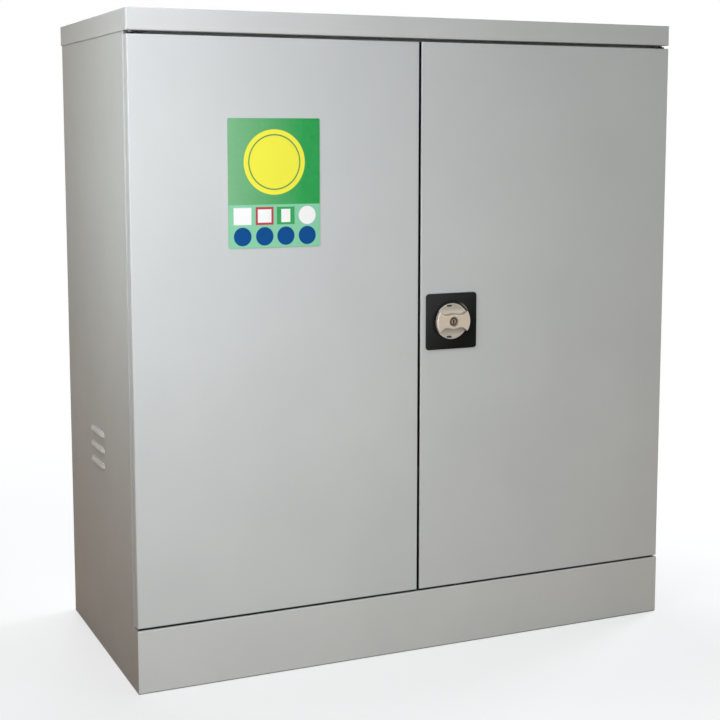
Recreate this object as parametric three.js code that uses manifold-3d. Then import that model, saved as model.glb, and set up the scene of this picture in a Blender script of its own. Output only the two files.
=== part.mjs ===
// Low steel safety cabinet: a folded body, two pivot-hung doors, a turning knob that drives
// two locking rods, and three retention trays. Millimetres, +Z up, front towards -Y.
// Places are measured from the middle of the door faces at floor level. At the end the
// whole cabinet is shifted so that the origin is the middle of its footprint.

import * as THREE from "three";
import { mergeVertices } from "three/addons/utils/BufferGeometryUtils.js";
import Module from "manifold-3d";

const wasm = await Module();
wasm.setup();

// Whole cabinet
const cabinetHeight = 1000;
const cabinetWidth = 920; // across the lid
const cabinetDepth = 420; // door faces to the back of the lid
const plinthHeight = 97;
const fit = 0.3; // clearance between pieces that touch
const overrun = 4; // how far a cut runs past what it cuts

// Sheet steel
const bodySheet = 1;
const lidSheet = 1;
const doorSheet = 1;
const traySheet = 1;
const bendRadius = 2.2; // outside of a fold

// Lid
const lidHeight = 32;
const lidCornerRadius = 4;
const lidLipDepth = 22;
const lidLipUpturn = 12;

// Side panels, back and rails
const frontFlangeWidth = 30;
const returnLipDepth = 12;
const backFlangeWidth = 20;
const footFlangeWidth = 20;
const topRailHeight = 60;
const topRailFlange = 20;
const topRailLip = 15;

// Vent hoods pressed out of each side panel
const hoodLength = 86;
const hoodRise = 8.5;
const hoodDepth = 3.5;
const hoodEndRun = 16; // of each rounded end, along the hood
const hoodPitch = 25;
const hoodCount = 3;
const lowestHoodZ = 301.5;
const hoodY = 221;

// Floor panel
const thresholdHeight = 28;
const floorFlangeHeight = 25;

// Slotted uprights and shelf clips
const uprightWidth = 30;
const uprightDepth = 12;
const uprightSheet = 1.2;
const uprightFromFront = 40;
const uprightFromBack = 8;
const uprightTopGap = 38;
const slotPitch = 50;
const slotEndMargin = 40; // last slot to the top of the upright
const slotWidth = 5;
const slotHeight = 12;
const firstSlotAboveFloor = 53;
const clipSheet = 2;
const clipWidth = 24;
const clipReach = 27;
const clipRise = 8; // top of the ledge above the slot's middle
const clipDrop = 18;
const clipHookDrop = 4;
const clipHookSheet = 1.5;

// Trays
const trayHeight = 30;
const sumpHeight = 60;
const trayLip = 8;
const trayCornerRadius = 3;
const traySideGap = 2; // to the return lips that it passes on its way out
const trayFrontGap = 4;
const trayBackGap = 4;
const lowerShelfSlot = 5;
const upperShelfSlot = 11;

// Doors
const doorThickness = 18;
const doorStandoff = 5; // back of the doors to the body's front
const doorTopGap = 5;
const doorBottomGap = 3;
const doorMiddleGap = 4;
const doorLip = 16;
const stiffenerWidth = 50;
const stiffenerDepth = 14.7;
const stiffenerFoot = 15;

// Blank sign plate on the left door
const signWidth = 144;
const signHeight = 190;
const signThickness = 0.8;
const signFromEdge = 146.7;
const signFromTop = 117;
const signCornerRadius = 1.5;

// Pivots
const pivotFromFront = 12;
const pivotFromEdge = 8;
const pinRadius = 3;
const pinHeadRadius = 5.2;
const pinHeadHeight = 2;
const pinIntoDoor = 6;
const hingePlateLength = 36;
const hingePlateWidth = 16;
const hingePlateThickness = 3;
const hingePlateOverhang = 6.5; // past the pin, towards the outside
const bushRadius = 4.6;
const bushFlangeRadius = 5.5;
const bushLength = 8;

// Rubber door buffers
const bufferRadius = 6;
const bufferStemRadius = 3;
const bufferStemLength = 3;
const bufferFromMiddle = 30;
const bufferFromDoorEdge = 8;

// Handle plate and knob
const knobFromEdge = 53.3; // from the free edge of the right door
const knobBelowMiddle = 1.5; // of the door's height
const platePlan = 88.5;
const plateCornerRadius = 5;
const plateThickness = 3;
const plateRecessRadius = 31; // at its floor
const plateRecessMouth = 33.5;
const plateRecessDepth = 2;
const knobRadius = 29;
const knobHeight = 9.4;
const knobEdge = 0.8;
const knobBossRadius = 9;
const barEndHalf = 15.5;
const barWaistHalf = 9.4;
const barMiddleHalf = 11.2;
const barWaistShare = 0.43; // of the knob's radius
const scoopFootHeight = 4.4;
const scoopBowlHeight = 0.8; // pulls the middle of the scoop down
const scoopRimHeight = 3;
const scoopFootRun = 6;
const plugRadius = 7.5;
const plugLength = 4.5;
const plugSetback = 0.4;
const keySlotWidth = 1.4;
const keySlotHeight = 9;
const keySlotDepth = 3;

// Lock case behind the knob, screwed through the door to the handle plate
const caseHalfWidth = 31;
const caseHalfHeight = 38;
const caseDepth = 13.8;
const caseSheet = 1.2;
const coverThickness = 1.2;
const spindleHoleRadius = 6.2;
const lockScrewX = 26;
const lockScrewZ = 31;
const lockScrewRadius = 2;
const lockScrewHeadRadius = 3.5;
const lockScrewHeadHeight = 2;
const lockScrewBite = 1.7;

// Spindle, latch tongue and its screw
const spindleSide = 8;
const spindleSocketDepth = 5.4;
const tongueThickness = 2.2;
const tongueWidth = 20;
const tongueBite = 14; // behind the left door's edge
const tongueGap = 0.8; // behind the doors
const tongueScrewRadius = 2.5;
const tongueScrewHeadRadius = 5.5;
const tongueScrewHeadHeight = 2;
const tongueScrewLength = 8;

// Pinion and racks
const gearModule = 1.5;
const pinionTeeth = 16;
const pinionThickness = 6;
const pressureAngle = Math.PI / 9;
const addendumShare = 0.9; // of the module
const dedendumShare = 1.25;
const backlash = 0.3;
const flankSteps = 3;
const rackTeethBelow = 6;
const rackTeethAbove = 2;
const rodWidth = 12;
const rodThickness = 4;
const rodFromDoorFace = 6.5;
const rodEndRadius = 1.5;
const rodKeeperGap = 0.8;
const guideHeight = 20;
const guideWall = 5;
const guideFromDoorEnd = 60;

// Facets
const weld = 1e-4;
const coordinates = 3;
const bendSteps = 3;
const pinSides = 12;
const knobSides = 40;
const waveSteps = 20;
const dishSteps = 5;
const hoodCapSteps = 5;
const hoodSides = 16;

// Places worked out from the sizes
const sideFace = cabinetWidth / 2 - lidSheet - fit;
const wallFace = sideFace - bodySheet;
const lidBottomZ = cabinetHeight - lidHeight;
const bodyTopZ = cabinetHeight - lidSheet - fit;
const backFaceY = cabinetDepth - lidSheet - fit;
const sideBackY = backFaceY - bodySheet - fit;
const bodyFrontY = doorThickness + doorStandoff;
const flangeEdge = sideFace - frontFlangeWidth;
const openingHalf = flangeEdge - fit;
const floorZ = plinthHeight;
const doorTopZ = lidBottomZ - doorTopGap;
const doorBottomZ = plinthHeight + doorBottomGap;
const pivotX = sideFace - pivotFromEdge;
const bushFlangeHeight = doorBottomGap - 2 * fit;
const trayHalf = flangeEdge - traySideGap;
const trayFrontY = bodyFrontY + bodySheet + trayFrontGap;
const trayBackY = sideBackY - bodySheet - trayBackGap;
const webFace = wallFace - fit - uprightDepth;
const frontUprightY = uprightFromFront + uprightWidth / 2;
const rearUprightY = sideBackY - bodySheet - uprightFromBack - uprightWidth / 2;
const firstSlotZ = floorZ + firstSlotAboveFloor;
const slotZ = (index) => firstSlotZ + index * slotPitch;
const uprightTopZ = bodyTopZ - uprightTopGap;
const slotCount = Math.floor((uprightTopZ - slotEndMargin - firstSlotZ) / slotPitch) + 1;
const signTopZ = doorTopZ - signFromTop;
const knobX = doorMiddleGap / 2 + knobFromEdge;
const knobZ = (doorTopZ + doorBottomZ) / 2 - knobBelowMiddle;
const plateBackY = -fit;
const plateFrontY = plateBackY - plateThickness;
const recessFloorY = plateFrontY + plateRecessDepth;
const knobBackY = recessFloorY - fit;
const knobFrontY = knobBackY - knobHeight;
const caseFrontY = doorSheet + fit;
const caseBackY = caseFrontY + caseDepth;
const coverFrontY = caseBackY + fit;
const pitchRadius = (gearModule * pinionTeeth) / 2;
const toothPitch = Math.PI * gearModule;
const addendum = addendumShare * gearModule;
const dedendum = dedendumShare * gearModule;
const rodInnerX = pitchRadius + dedendum;
const rodMiddleX = rodInnerX + rodWidth / 2;
const rodMiddleY = rodFromDoorFace + rodThickness / 2;
const tongueFrontY = doorThickness + tongueGap;
const tongueReach = knobX + doorMiddleGap / 2 + tongueBite;
const upperRodLength = doorTopZ - fit - knobZ;
const lowerRodLength = knobZ - doorBottomZ - fit;

// A closed geometry as a solid that can be joined and cut
function solid(geometry) {
  const bare = geometry.clone();
  bare.deleteAttribute("normal");
  bare.deleteAttribute("uv");
  const merged = mergeVertices(bare, weld);
  const mesh = new wasm.Mesh({
    numProp: coordinates,
    vertProperties: merged.attributes.position.array,
    triVerts: merged.index.array,
  });
  return new wasm.Manifold(mesh);
}

function joined(solids) {
  return solids.reduce((whole, next) => whole.add(next));
}

function block(x0, x1, y0, y1, z0, z1) {
  const geometry = new THREE.BoxGeometry(Math.abs(x1 - x0), Math.abs(y1 - y0), Math.abs(z1 - z0));
  geometry.translate((x0 + x1) / 2, (y0 + y1) / 2, (z0 + z1) / 2);
  return solid(geometry);
}

// A closed outline through corners [u, v, radius], each rounded by an arc of its radius
function outline(corners) {
  const points = [];
  corners.forEach(([u, v, radius], index) => {
    const corner = new THREE.Vector2(u, v);
    if (!radius) {
      points.push(corner);
      return;
    }
    const [previous, next] = [corners.at(index - 1), corners[(index + 1) % corners.length]];
    const before = new THREE.Vector2(previous[0], previous[1]).sub(corner).normalize();
    const after = new THREE.Vector2(next[0], next[1]).sub(corner).normalize();
    const half = Math.acos(before.dot(after)) / 2;
    const centre = before.clone().add(after).setLength(radius / Math.sin(half)).add(corner);
    const run = radius / Math.tan(half);
    const start = before.multiplyScalar(run).add(corner).sub(centre).angle();
    const end = after.multiplyScalar(run).add(corner).sub(centre).angle();
    const sweep = THREE.MathUtils.euclideanModulo(end - start + Math.PI, 2 * Math.PI) - Math.PI;
    for (let step = 0; step <= bendSteps; step++) {
      const angle = start + (sweep * step) / bendSteps;
      points.push(new THREE.Vector2(radius * Math.cos(angle), radius * Math.sin(angle)).add(centre));
    }
  });
  return new THREE.Shape(points);
}

function rectangle(u0, u1, v0, v1, radius = 0) {
  return [[u0, v0, radius], [u1, v0, radius], [u1, v1, radius], [u0, v1, radius]];
}

// The corners of a folded sheet. The path runs along its outer face, and the inner face
// lies to the left of the path when turn is 1, and to its right when turn is -1.
function folded(path, thickness, turn) {
  const points = path.map(([u, v]) => new THREE.Vector2(u, v));
  const normals = points.slice(1).map((point, index) => {
    const along = point.clone().sub(points[index]).normalize();
    return new THREE.Vector2(-along.y, along.x).multiplyScalar(turn);
  });
  const insideRadius = Math.max(bendRadius - thickness, 0);
  const last = points.length - 1;
  const near = [];
  const far = [];
  points.forEach((point, index) => {
    const before = normals[Math.max(index - 1, 0)];
    const after = normals[Math.min(index, last - 1)];
    const shift = before.clone().add(after).multiplyScalar(thickness / (1 + before.dot(after)));
    const bent = index > 0 && index < last;
    const nearIsOutside = before.cross(after) * turn > 0;
    const [nearRadius, farRadius] = nearIsOutside ? [bendRadius, insideRadius] : [insideRadius, bendRadius];
    near.push([point.x, point.y, bent ? nearRadius : 0]);
    far.unshift([point.x + shift.x, point.y + shift.y, bent ? farRadius : 0]);
  });
  return [...near, ...far];
}

function extruded(shape, depth) {
  return new THREE.ExtrudeGeometry(shape, { depth, bevelEnabled: false, steps: 1 });
}

// An outline of (x, y) carried upwards from z0 to z1
function upwards(corners, z0, z1) {
  const geometry = extruded(outline(corners), z1 - z0);
  geometry.translate(0, 0, z0);
  return solid(geometry);
}

// An outline of (y, z) carried sideways from x0 to x1
function sideways(corners, x0, x1) {
  const geometry = extruded(outline(corners), x1 - x0);
  const axes = [new THREE.Vector3(0, 1, 0), new THREE.Vector3(0, 0, 1), new THREE.Vector3(1, 0, 0)];
  geometry.applyMatrix4(new THREE.Matrix4().makeBasis(...axes));
  geometry.translate(x0, 0, 0);
  return solid(geometry);
}

// An outline of (x, z) carried backwards from y0 to y1
function backwards(corners, y0, y1) {
  const geometry = extruded(outline(corners), y1 - y0);
  geometry.rotateX(Math.PI / 2);
  geometry.translate(0, y1, 0);
  return solid(geometry);
}

function roundUp(radius, x, y, z0, z1) {
  const geometry = new THREE.CylinderGeometry(radius, radius, z1 - z0, pinSides);
  geometry.rotateX(Math.PI / 2);
  geometry.translate(x, y, (z0 + z1) / 2);
  return solid(geometry);
}

function roundBack(radius, x, z, y0, y1, sides = pinSides) {
  const geometry = new THREE.CylinderGeometry(radius, radius, y1 - y0, sides);
  geometry.translate(x, (y0 + y1) / 2, z);
  return solid(geometry);
}

// A profile of [radius, height] turned about the vertical axis, or about the axis that
// runs backwards, from its lowest point to its highest
function turned(profile, sides, upright) {
  const points = profile.map(([radius, height]) => new THREE.Vector2(radius, height));
  const geometry = new THREE.LatheGeometry(points, sides);
  if (upright) geometry.rotateX(Math.PI / 2);
  return solid(geometry);
}

// Finishes
const finishes = {
  paint: { color: 0xcdd1cd, roughness: 0.42, metalness: 0 },
  zincPlate: { color: 0xb4b6b4, roughness: 0.38, metalness: 1 },
  steel: { color: 0x8d9094, roughness: 0.35, metalness: 1 },
  blackPlastic: { color: 0x17181a, roughness: 0.5, metalness: 0 },
  knobMetal: { color: 0xc3b9a4, roughness: 0.34, metalness: 1 },
  brass: { color: 0x9c8460, roughness: 0.35, metalness: 1 },
  rubber: { color: 0x1d1d1d, roughness: 0.85, metalness: 0 },
  signGreen: { color: 0x2fa84a, roughness: 0.4, metalness: 0 },
};

function piece(name, made, finish) {
  const { vertProperties, triVerts } = made.getMesh();
  const geometry = new THREE.BufferGeometry();
  geometry.setAttribute("position", new THREE.BufferAttribute(new Float32Array(vertProperties), coordinates));
  geometry.setIndex(new THREE.BufferAttribute(new Uint32Array(triVerts), 1));
  geometry.computeVertexNormals();
  const mesh = new THREE.Mesh(geometry, new THREE.MeshStandardMaterial(finishes[finish]));
  mesh.name = name;
  return mesh;
}

// Lid: a folded cap. The front edge turns back under itself as the lip for the pivots.
function lid() {
  const halfWidth = cabinetWidth / 2;
  const innerHalf = halfWidth - lidSheet;
  const innerBackY = cabinetDepth - lidSheet;
  const plan = [
    [-halfWidth, 0, lidCornerRadius],
    [halfWidth, 0, lidCornerRadius],
    [halfWidth, cabinetDepth, bendRadius],
    [-halfWidth, cabinetDepth, bendRadius],
  ];
  const innerPlan = [
    [-innerHalf, lidSheet, lidCornerRadius - lidSheet],
    [innerHalf, lidSheet, lidCornerRadius - lidSheet],
    [innerHalf, innerBackY, bendRadius - lidSheet],
    [-innerHalf, innerBackY, bendRadius - lidSheet],
  ];
  const fromSide = [
    [0, lidBottomZ, bendRadius],
    [0, cabinetHeight, bendRadius],
    [cabinetDepth, cabinetHeight, bendRadius],
    [cabinetDepth, lidBottomZ, 0],
  ];
  const fromFront = [
    [-halfWidth, lidBottomZ, 0],
    [-halfWidth, cabinetHeight, bendRadius],
    [halfWidth, cabinetHeight, bendRadius],
    [halfWidth, lidBottomZ, 0],
  ];
  const outside = upwards(plan, lidBottomZ, cabinetHeight)
    .intersect(sideways(fromSide, -halfWidth, halfWidth))
    .intersect(backwards(fromFront, 0, cabinetDepth));
  const hollow = upwards(innerPlan, lidBottomZ - overrun, cabinetHeight - lidSheet);
  const lipPath = [
    [0, cabinetHeight - lidSheet],
    [0, lidBottomZ],
    [lidLipDepth, lidBottomZ],
    [lidLipDepth, lidBottomZ + lidLipUpturn],
  ];
  const lip = sideways(folded(lipPath, lidSheet, 1), -halfWidth, halfWidth).intersect(outside);
  const holes = [-pivotX, pivotX].map((x) =>
    roundUp(pinRadius + fit, x, pivotFromFront, lidBottomZ - overrun, lidBottomZ + lidSheet + overrun),
  );
  holes.push(rodHole(knobX - rodMiddleX, lidBottomZ - overrun, lidBottomZ + lidSheet + overrun));
  return outside.subtract(hollow).add(lip).subtract(joined(holes));
}

// The hole that keeps a locking rod, in the lid's lip or the plinth's flange
function rodHole(x, z0, z1) {
  const halfWidth = rodWidth / 2 + rodKeeperGap;
  const halfThickness = rodThickness / 2 + rodKeeperGap;
  return block(x - halfWidth, x + halfWidth, rodMiddleY - halfThickness, rodMiddleY + halfThickness, z0, z1);
}

// One vent hood: half of a flattened capsule with drawn-out ends, open at its lower edge
function hoodShape(side, z, thickness) {
  const rise = hoodRise - thickness;
  const stretch = hoodEndRun / hoodRise;
  const middleRun = hoodLength / stretch - 2 * hoodRise;
  const geometry = new THREE.CapsuleGeometry(rise, middleRun, hoodCapSteps, hoodSides);
  geometry.scale((hoodDepth - thickness) / rise, stretch, 1);
  geometry.translate(side * sideFace, hoodY, z);
  return solid(geometry);
}

function withHoods(panel, side) {
  let vented = panel;
  const [front, back] = [hoodY - hoodLength, hoodY + hoodLength];
  for (let index = 0; index < hoodCount; index++) {
    const z = lowestHoodZ + index * hoodPitch;
    const outer = side * (sideFace + 2 * hoodDepth);
    const upper = block(side * wallFace, outer, front, back, z, z + 2 * hoodRise);
    const wallBelow = block(0, side * sideFace, front, back, z - 2 * hoodRise, z);
    const hollow = hoodShape(side, z, bodySheet).subtract(wallBelow);
    vented = vented.add(hoodShape(side, z, 0).intersect(upper)).subtract(hollow);
  }
  return vented;
}

// Side panel: one sheet with a front flange and its return lip, a back flange and a foot.
// Below the doors it runs forward to the plinth face.
function sidePanel(side) {
  const path = [
    [flangeEdge, bodyFrontY + returnLipDepth],
    [flangeEdge, bodyFrontY],
    [sideFace, bodyFrontY],
    [sideFace, sideBackY],
    [sideFace - backFlangeWidth, sideBackY],
  ];
  const profile = folded(path.map(([x, y]) => [side * x, y]), bodySheet, side);
  const wall = upwards(profile, 0, bodyTopZ);
  const plinthFront = bodySheet + fit;
  const behindBend = bodyFrontY + bendRadius;
  const ear = block(side * wallFace, side * sideFace, plinthFront, behindBend, 0, plinthHeight);
  const footEdge = side * (sideFace - footFlangeWidth);
  const foot = block(footEdge, side * sideFace, plinthFront, sideBackY, 0, bodySheet);
  return withHoods(joined([wall, ear, foot]), side);
}

// Back panel: stops short of the rounded back corners of the lid
function backPanel() {
  const half = sideFace - bodySheet;
  return block(-half, half, backFaceY - bodySheet, backFaceY, 0, bodyTopZ);
}

function topRail() {
  const path = [
    [bodyFrontY + topRailFlange, bodyTopZ],
    [bodyFrontY, bodyTopZ],
    [bodyFrontY, bodyTopZ - topRailHeight],
    [bodyFrontY + topRailLip, bodyTopZ - topRailHeight],
  ];
  const rail = sideways(folded(path, bodySheet, 1), -openingHalf, openingHalf);
  return rail.subtract(bufferHoles(doorTopZ - bufferFromDoorEdge));
}

function bufferHoles(z) {
  const holes = [-bufferFromMiddle, bufferFromMiddle].map((x) =>
    roundBack(bufferStemRadius + fit, x, z, bodyFrontY - overrun, bodyFrontY + bodySheet + overrun),
  );
  return joined(holes);
}

// Floor panel: raised at the front as a threshold and at the back, turned down at the
// sides, and cut back behind the return lips of the side panels
function floorPanel() {
  const underZ = floorZ - bodySheet;
  const backY = sideBackY - bodySheet - fit;
  const sideHalf = wallFace - fit;
  const path = [
    [bodyFrontY, floorZ + thresholdHeight],
    [bodyFrontY, underZ],
    [backY, underZ],
    [backY, underZ + thresholdHeight],
  ];
  const middle = sideways(folded(path, bodySheet, 1), -openingHalf, openingHalf);
  const wingFrontY = bodyFrontY + returnLipDepth + fit;
  const wings = [-1, 1].flatMap((side) => {
    const edge = side * sideHalf;
    const inner = side * (sideHalf - bodySheet);
    const wing = block(side * (openingHalf - overrun), edge, wingFrontY, backY - bendRadius, underZ, floorZ);
    const skirt = block(inner, edge, wingFrontY, backY - bendRadius, floorZ - floorFlangeHeight, floorZ);
    return [wing, skirt];
  });
  return joined([middle, ...wings]).subtract(bufferHoles(doorBottomZ + bufferFromDoorEdge));
}

// Plinth: its face covers the front edges of the side panels, its flanges fit between them
function plinth() {
  const flangeBackY = bodyFrontY - fit;
  const path = [
    [flangeBackY, plinthHeight],
    [0, plinthHeight],
    [0, 0],
    [footFlangeWidth, 0],
  ];
  const sheet = sideways(folded(path, bodySheet, 1), -sideFace, sideFace);
  const inside = wallFace - fit;
  const footInside = sideFace - footFlangeWidth - fit;
  const past = sideFace + overrun;
  const behind = bodyFrontY + overrun;
  const top = plinthHeight + overrun;
  const cuts = [-1, 1].flatMap((side) => [
    block(side * inside, side * past, bodySheet, behind, -overrun, top),
    block(side * footInside, side * past, bodySheet, behind, -overrun, bendRadius + fit),
    roundUp(pinRadius + fit, side * pivotX, pivotFromFront, plinthHeight - overrun, top),
  ]);
  cuts.push(rodHole(knobX + rodMiddleX, plinthHeight - overrun, top));
  return sheet.subtract(joined(cuts));
}

// Slotted upright: a channel whose web faces the inside of the cabinet
function upright(side, middleY) {
  const [y0, y1] = [middleY - uprightWidth / 2, middleY + uprightWidth / 2];
  const back = wallFace - fit;
  const path = [[back, y0], [webFace, y0], [webFace, y1], [back, y1]];
  const profile = folded(path.map(([x, y]) => [side * x, y]), uprightSheet, -side);
  const channel = upwards(profile, floorZ + fit, uprightTopZ);
  const slots = [];
  for (let index = 0; index < slotCount; index++) {
    const [z0, z1] = [slotZ(index) - slotHeight / 2, slotZ(index) + slotHeight / 2];
    const [inner, outer] = [side * (webFace - overrun), side * (webFace + overrun)];
    slots.push(block(inner, outer, middleY - slotWidth / 2, middleY + slotWidth / 2, z0, z1));
  }
  return channel.subtract(joined(slots));
}

// Shelf clip: a plate on the upright's web, a ledge under the tray and a hook in the slot
function shelfClip(side, middleY, index) {
  const z = slotZ(index);
  const plateBack = webFace - fit;
  const tabHalfWidth = slotWidth / 2 - fit;
  const tabHalfHeight = slotHeight / 2 - fit;
  const hookFront = webFace + uprightSheet + fit;
  const hookBack = hookFront + clipHookSheet;
  const [y0, y1] = [middleY - clipWidth / 2, middleY + clipWidth / 2];
  const [tab0, tab1] = [middleY - tabHalfWidth, middleY + tabHalfWidth];
  const [top, tabTop, tabBottom] = [z + clipRise, z + tabHalfHeight, z - tabHalfHeight];
  return joined([
    block(side * (plateBack - clipSheet), side * plateBack, y0, y1, z - clipDrop, top),
    block(side * (plateBack - clipReach), side * plateBack, y0, y1, top - clipSheet, top),
    block(side * (plateBack - clipSheet), side * hookBack, tab0, tab1, tabBottom, tabTop),
    block(side * hookFront, side * hookBack, tab0, tab1, tabBottom - clipHookDrop, tabTop),
  ]);
}

// Tray with a rim that is folded inwards
function tray(bottomZ, height) {
  const insideRadius = trayCornerRadius - traySheet;
  const planInset = (inset, radius) =>
    rectangle(inset - trayHalf, trayHalf - inset, trayFrontY + inset, trayBackY - inset, radius);
  const top = bottomZ + height;
  return upwards(planInset(0, trayCornerRadius), bottomZ, top)
    .subtract(upwards(planInset(traySheet, insideRadius), bottomZ + traySheet, top - traySheet))
    .subtract(upwards(planInset(trayLip, insideRadius), top - 2 * traySheet, top + overrun));
}

function hingePlate(side) {
  const bottom = lidSheet + fit;
  const [inner, outer] = [side * (hingePlateOverhang - hingePlateLength), side * hingePlateOverhang];
  const halfWidth = hingePlateWidth / 2;
  const plate = block(inner, outer, -halfWidth, halfWidth, bottom, bottom + hingePlateThickness);
  return plate.subtract(roundUp(pinRadius + fit, 0, 0, 0, bottom + hingePlateThickness + overrun));
}

// Pivot pin: hangs by its head on the hinge plate and reaches down into the door's bush
function hingePin(gap) {
  const headBottom = lidSheet + hingePlateThickness + 2 * fit;
  const profile = [
    [0, -gap - pinIntoDoor],
    [pinRadius, -gap - pinIntoDoor],
    [pinRadius, headBottom],
    [pinHeadRadius, headBottom],
    [pinHeadRadius, headBottom + pinHeadHeight],
    [0, headBottom + pinHeadHeight],
  ];
  return turned(profile, pinSides, true);
}

// Bush in the door's end flange, measured from the flange's outer face
function hingeBush() {
  const profile = [
    [0, -bushLength],
    [bushRadius, -bushLength],
    [bushRadius, fit],
    [bushFlangeRadius, fit],
    [bushFlangeRadius, fit + bushFlangeHeight],
    [0, fit + bushFlangeHeight],
  ];
  return turned(profile, pinSides, true).subtract(roundUp(pinRadius + fit, 0, 0, -bushLength - overrun, bushLength));
}

// Rubber buffer, pushed through the body's front sheet and held by its bulb
function doorBuffer() {
  const headFront = doorThickness + fit;
  const headBack = bodyFrontY - fit;
  const bulbFront = bodyFrontY + bodySheet + fit;
  const profile = [
    [0, headFront],
    [bufferRadius - bufferStemRadius / 2, headFront],
    [bufferRadius, (headFront + headBack) / 2],
    [bufferRadius, headBack],
    [bufferStemRadius, headBack],
    [bufferStemRadius, bulbFront],
    [(bufferRadius + bufferStemRadius) / 2, bulbFront],
    [0, bulbFront + bufferStemLength],
  ];
  return turned(profile, pinSides, false);
}

// Door: a pan with bent edges, open at the back inside its return lips
function doorPan(side) {
  const [x0, x1] = [doorMiddleGap / 2, sideFace];
  const [innerX0, innerX1] = [x0 + doorSheet, x1 - doorSheet];
  const insideRadius = bendRadius - doorSheet;
  const shell = (low, high, front, back, radius) => [
    [low, back, 0],
    [low, front, radius],
    [high, front, radius],
    [high, back, 0],
  ];
  const mirrored = (corners) => corners.map(([x, y, radius]) => [side * x, y, radius]);
  const swapped = (corners) => corners.map(([z, y, radius]) => [y, z, radius]);
  const [sideLow, sideHigh] = [Math.min(side * x0, side * x1), Math.max(side * x0, side * x1)];
  const outside = upwards(mirrored(shell(x0, x1, 0, doorThickness, bendRadius)), doorBottomZ, doorTopZ)
    .intersect(sideways(swapped(shell(doorBottomZ, doorTopZ, 0, doorThickness, bendRadius)), sideLow, sideHigh));
  const innerBack = doorThickness - doorSheet;
  const innerPlan = mirrored(shell(innerX0, innerX1, doorSheet, innerBack, insideRadius));
  const hollow = upwards(innerPlan, doorBottomZ + doorSheet, doorTopZ - doorSheet);
  const mouth = block(
    side * (x0 + doorLip),
    side * (x1 - doorLip),
    doorThickness / 2,
    doorThickness + overrun,
    doorBottomZ + doorLip,
    doorTopZ - doorLip,
  );
  const bushHoles = [doorBottomZ, doorTopZ].map((z) =>
    roundUp(bushRadius + fit, side * pivotX, pivotFromFront, z - overrun, z + overrun),
  );
  return outside.subtract(hollow).subtract(mouth).subtract(joined(bushHoles));
}

function stiffener(side) {
  const middle = (doorMiddleGap / 2 + sideFace) / 2;
  const [foot, crown] = [doorSheet + fit, doorSheet + fit + stiffenerDepth];
  const half = stiffenerWidth / 2;
  const path = [
    [-half - stiffenerFoot, foot],
    [-half, foot],
    [-half, crown],
    [half, crown],
    [half, foot],
    [half + stiffenerFoot, foot],
  ];
  const profile = folded(path.map(([x, y]) => [side * middle + x, y]), doorSheet, 1);
  return upwards(profile, doorBottomZ + doorSheet + fit, doorTopZ - doorSheet - fit);
}

function signPlate() {
  const left = signFromEdge - sideFace;
  const plan = rectangle(left, left + signWidth, signTopZ - signHeight, signTopZ, signCornerRadius);
  return backwards(plan, -fit - signThickness, -fit);
}

// The four places where screws hold the lock case to the handle plate
const lockScrewPlaces = [-1, 1].flatMap((sideX) => [-1, 1].map((sideZ) => [sideX, sideZ]));

function lockScrewHoles(y0, y1, middleX = 0, middleZ = 0) {
  const holes = lockScrewPlaces.map(([sideX, sideZ]) =>
    roundBack(lockScrewRadius + fit, middleX + sideX * lockScrewX, middleZ + sideZ * lockScrewZ, y0, y1),
  );
  return joined(holes);
}

// What the lock cuts in the right door: the boss hole, the screw holes and two rod holes
function lockCuts() {
  return joined([
    lockScrewHoles(-overrun, doorSheet + overrun, knobX, knobZ),
    roundBack(knobBossRadius + fit, knobX, knobZ, -overrun, doorSheet + overrun, knobSides / 2),
    rodSlot(knobX - rodMiddleX, doorTopZ - overrun, doorTopZ + overrun),
    rodSlot(knobX + rodMiddleX, doorBottomZ - overrun, doorBottomZ + overrun),
  ]);
}

// The close-fitting hole through which a rod slides
function rodSlot(x, z0, z1) {
  const halfWidth = rodWidth / 2 + fit;
  const halfThickness = rodThickness / 2 + fit;
  return block(x - halfWidth, x + halfWidth, rodMiddleY - halfThickness, rodMiddleY + halfThickness, z0, z1);
}

function rodGuide() {
  const half = rodWidth / 2 + guideWall;
  const back = rodMiddleY + rodThickness / 2 + guideWall;
  const body = block(-half, half, doorSheet + fit, back, -guideHeight / 2, guideHeight / 2);
  return body.subtract(rodSlot(0, -guideHeight, guideHeight));
}

// Handle plate: its round recess has a sloping wall
function handlePlate() {
  const half = platePlan / 2;
  const screwDepth = plateBackY - lockScrewBite - fit;
  const recess = [
    [0, plateFrontY - overrun],
    [plateRecessMouth, plateFrontY - overrun],
    [plateRecessMouth, plateFrontY],
    [plateRecessRadius, recessFloorY],
    [0, recessFloorY],
  ];
  return backwards(rectangle(-half, half, -half, half, plateCornerRadius), plateFrontY, plateBackY)
    .subtract(turned(recess, knobSides, false))
    .subtract(roundBack(knobBossRadius + fit, 0, 0, plateFrontY - overrun, overrun, knobSides / 2))
    .subtract(lockScrewHoles(screwDepth, overrun));
}

function lockCase() {
  const [half, halfHeight] = [caseHalfWidth, caseHalfHeight];
  const [innerHalf, innerHalfHeight] = [half - caseSheet, halfHeight - caseSheet];
  const baseY = caseFrontY + caseSheet;
  return block(-half, half, caseFrontY, caseBackY, -halfHeight, halfHeight)
    .subtract(block(-innerHalf, innerHalf, baseY, caseBackY + overrun, -innerHalfHeight, innerHalfHeight))
    .subtract(roundBack(spindleHoleRadius, 0, 0, caseFrontY - overrun, baseY + overrun))
    .subtract(lockScrewHoles(caseFrontY - overrun, baseY + overrun))
    .subtract(rodSlot(-rodMiddleX, halfHeight - overrun, halfHeight + overrun))
    .subtract(rodSlot(rodMiddleX, -halfHeight - overrun, overrun - halfHeight));
}

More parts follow.
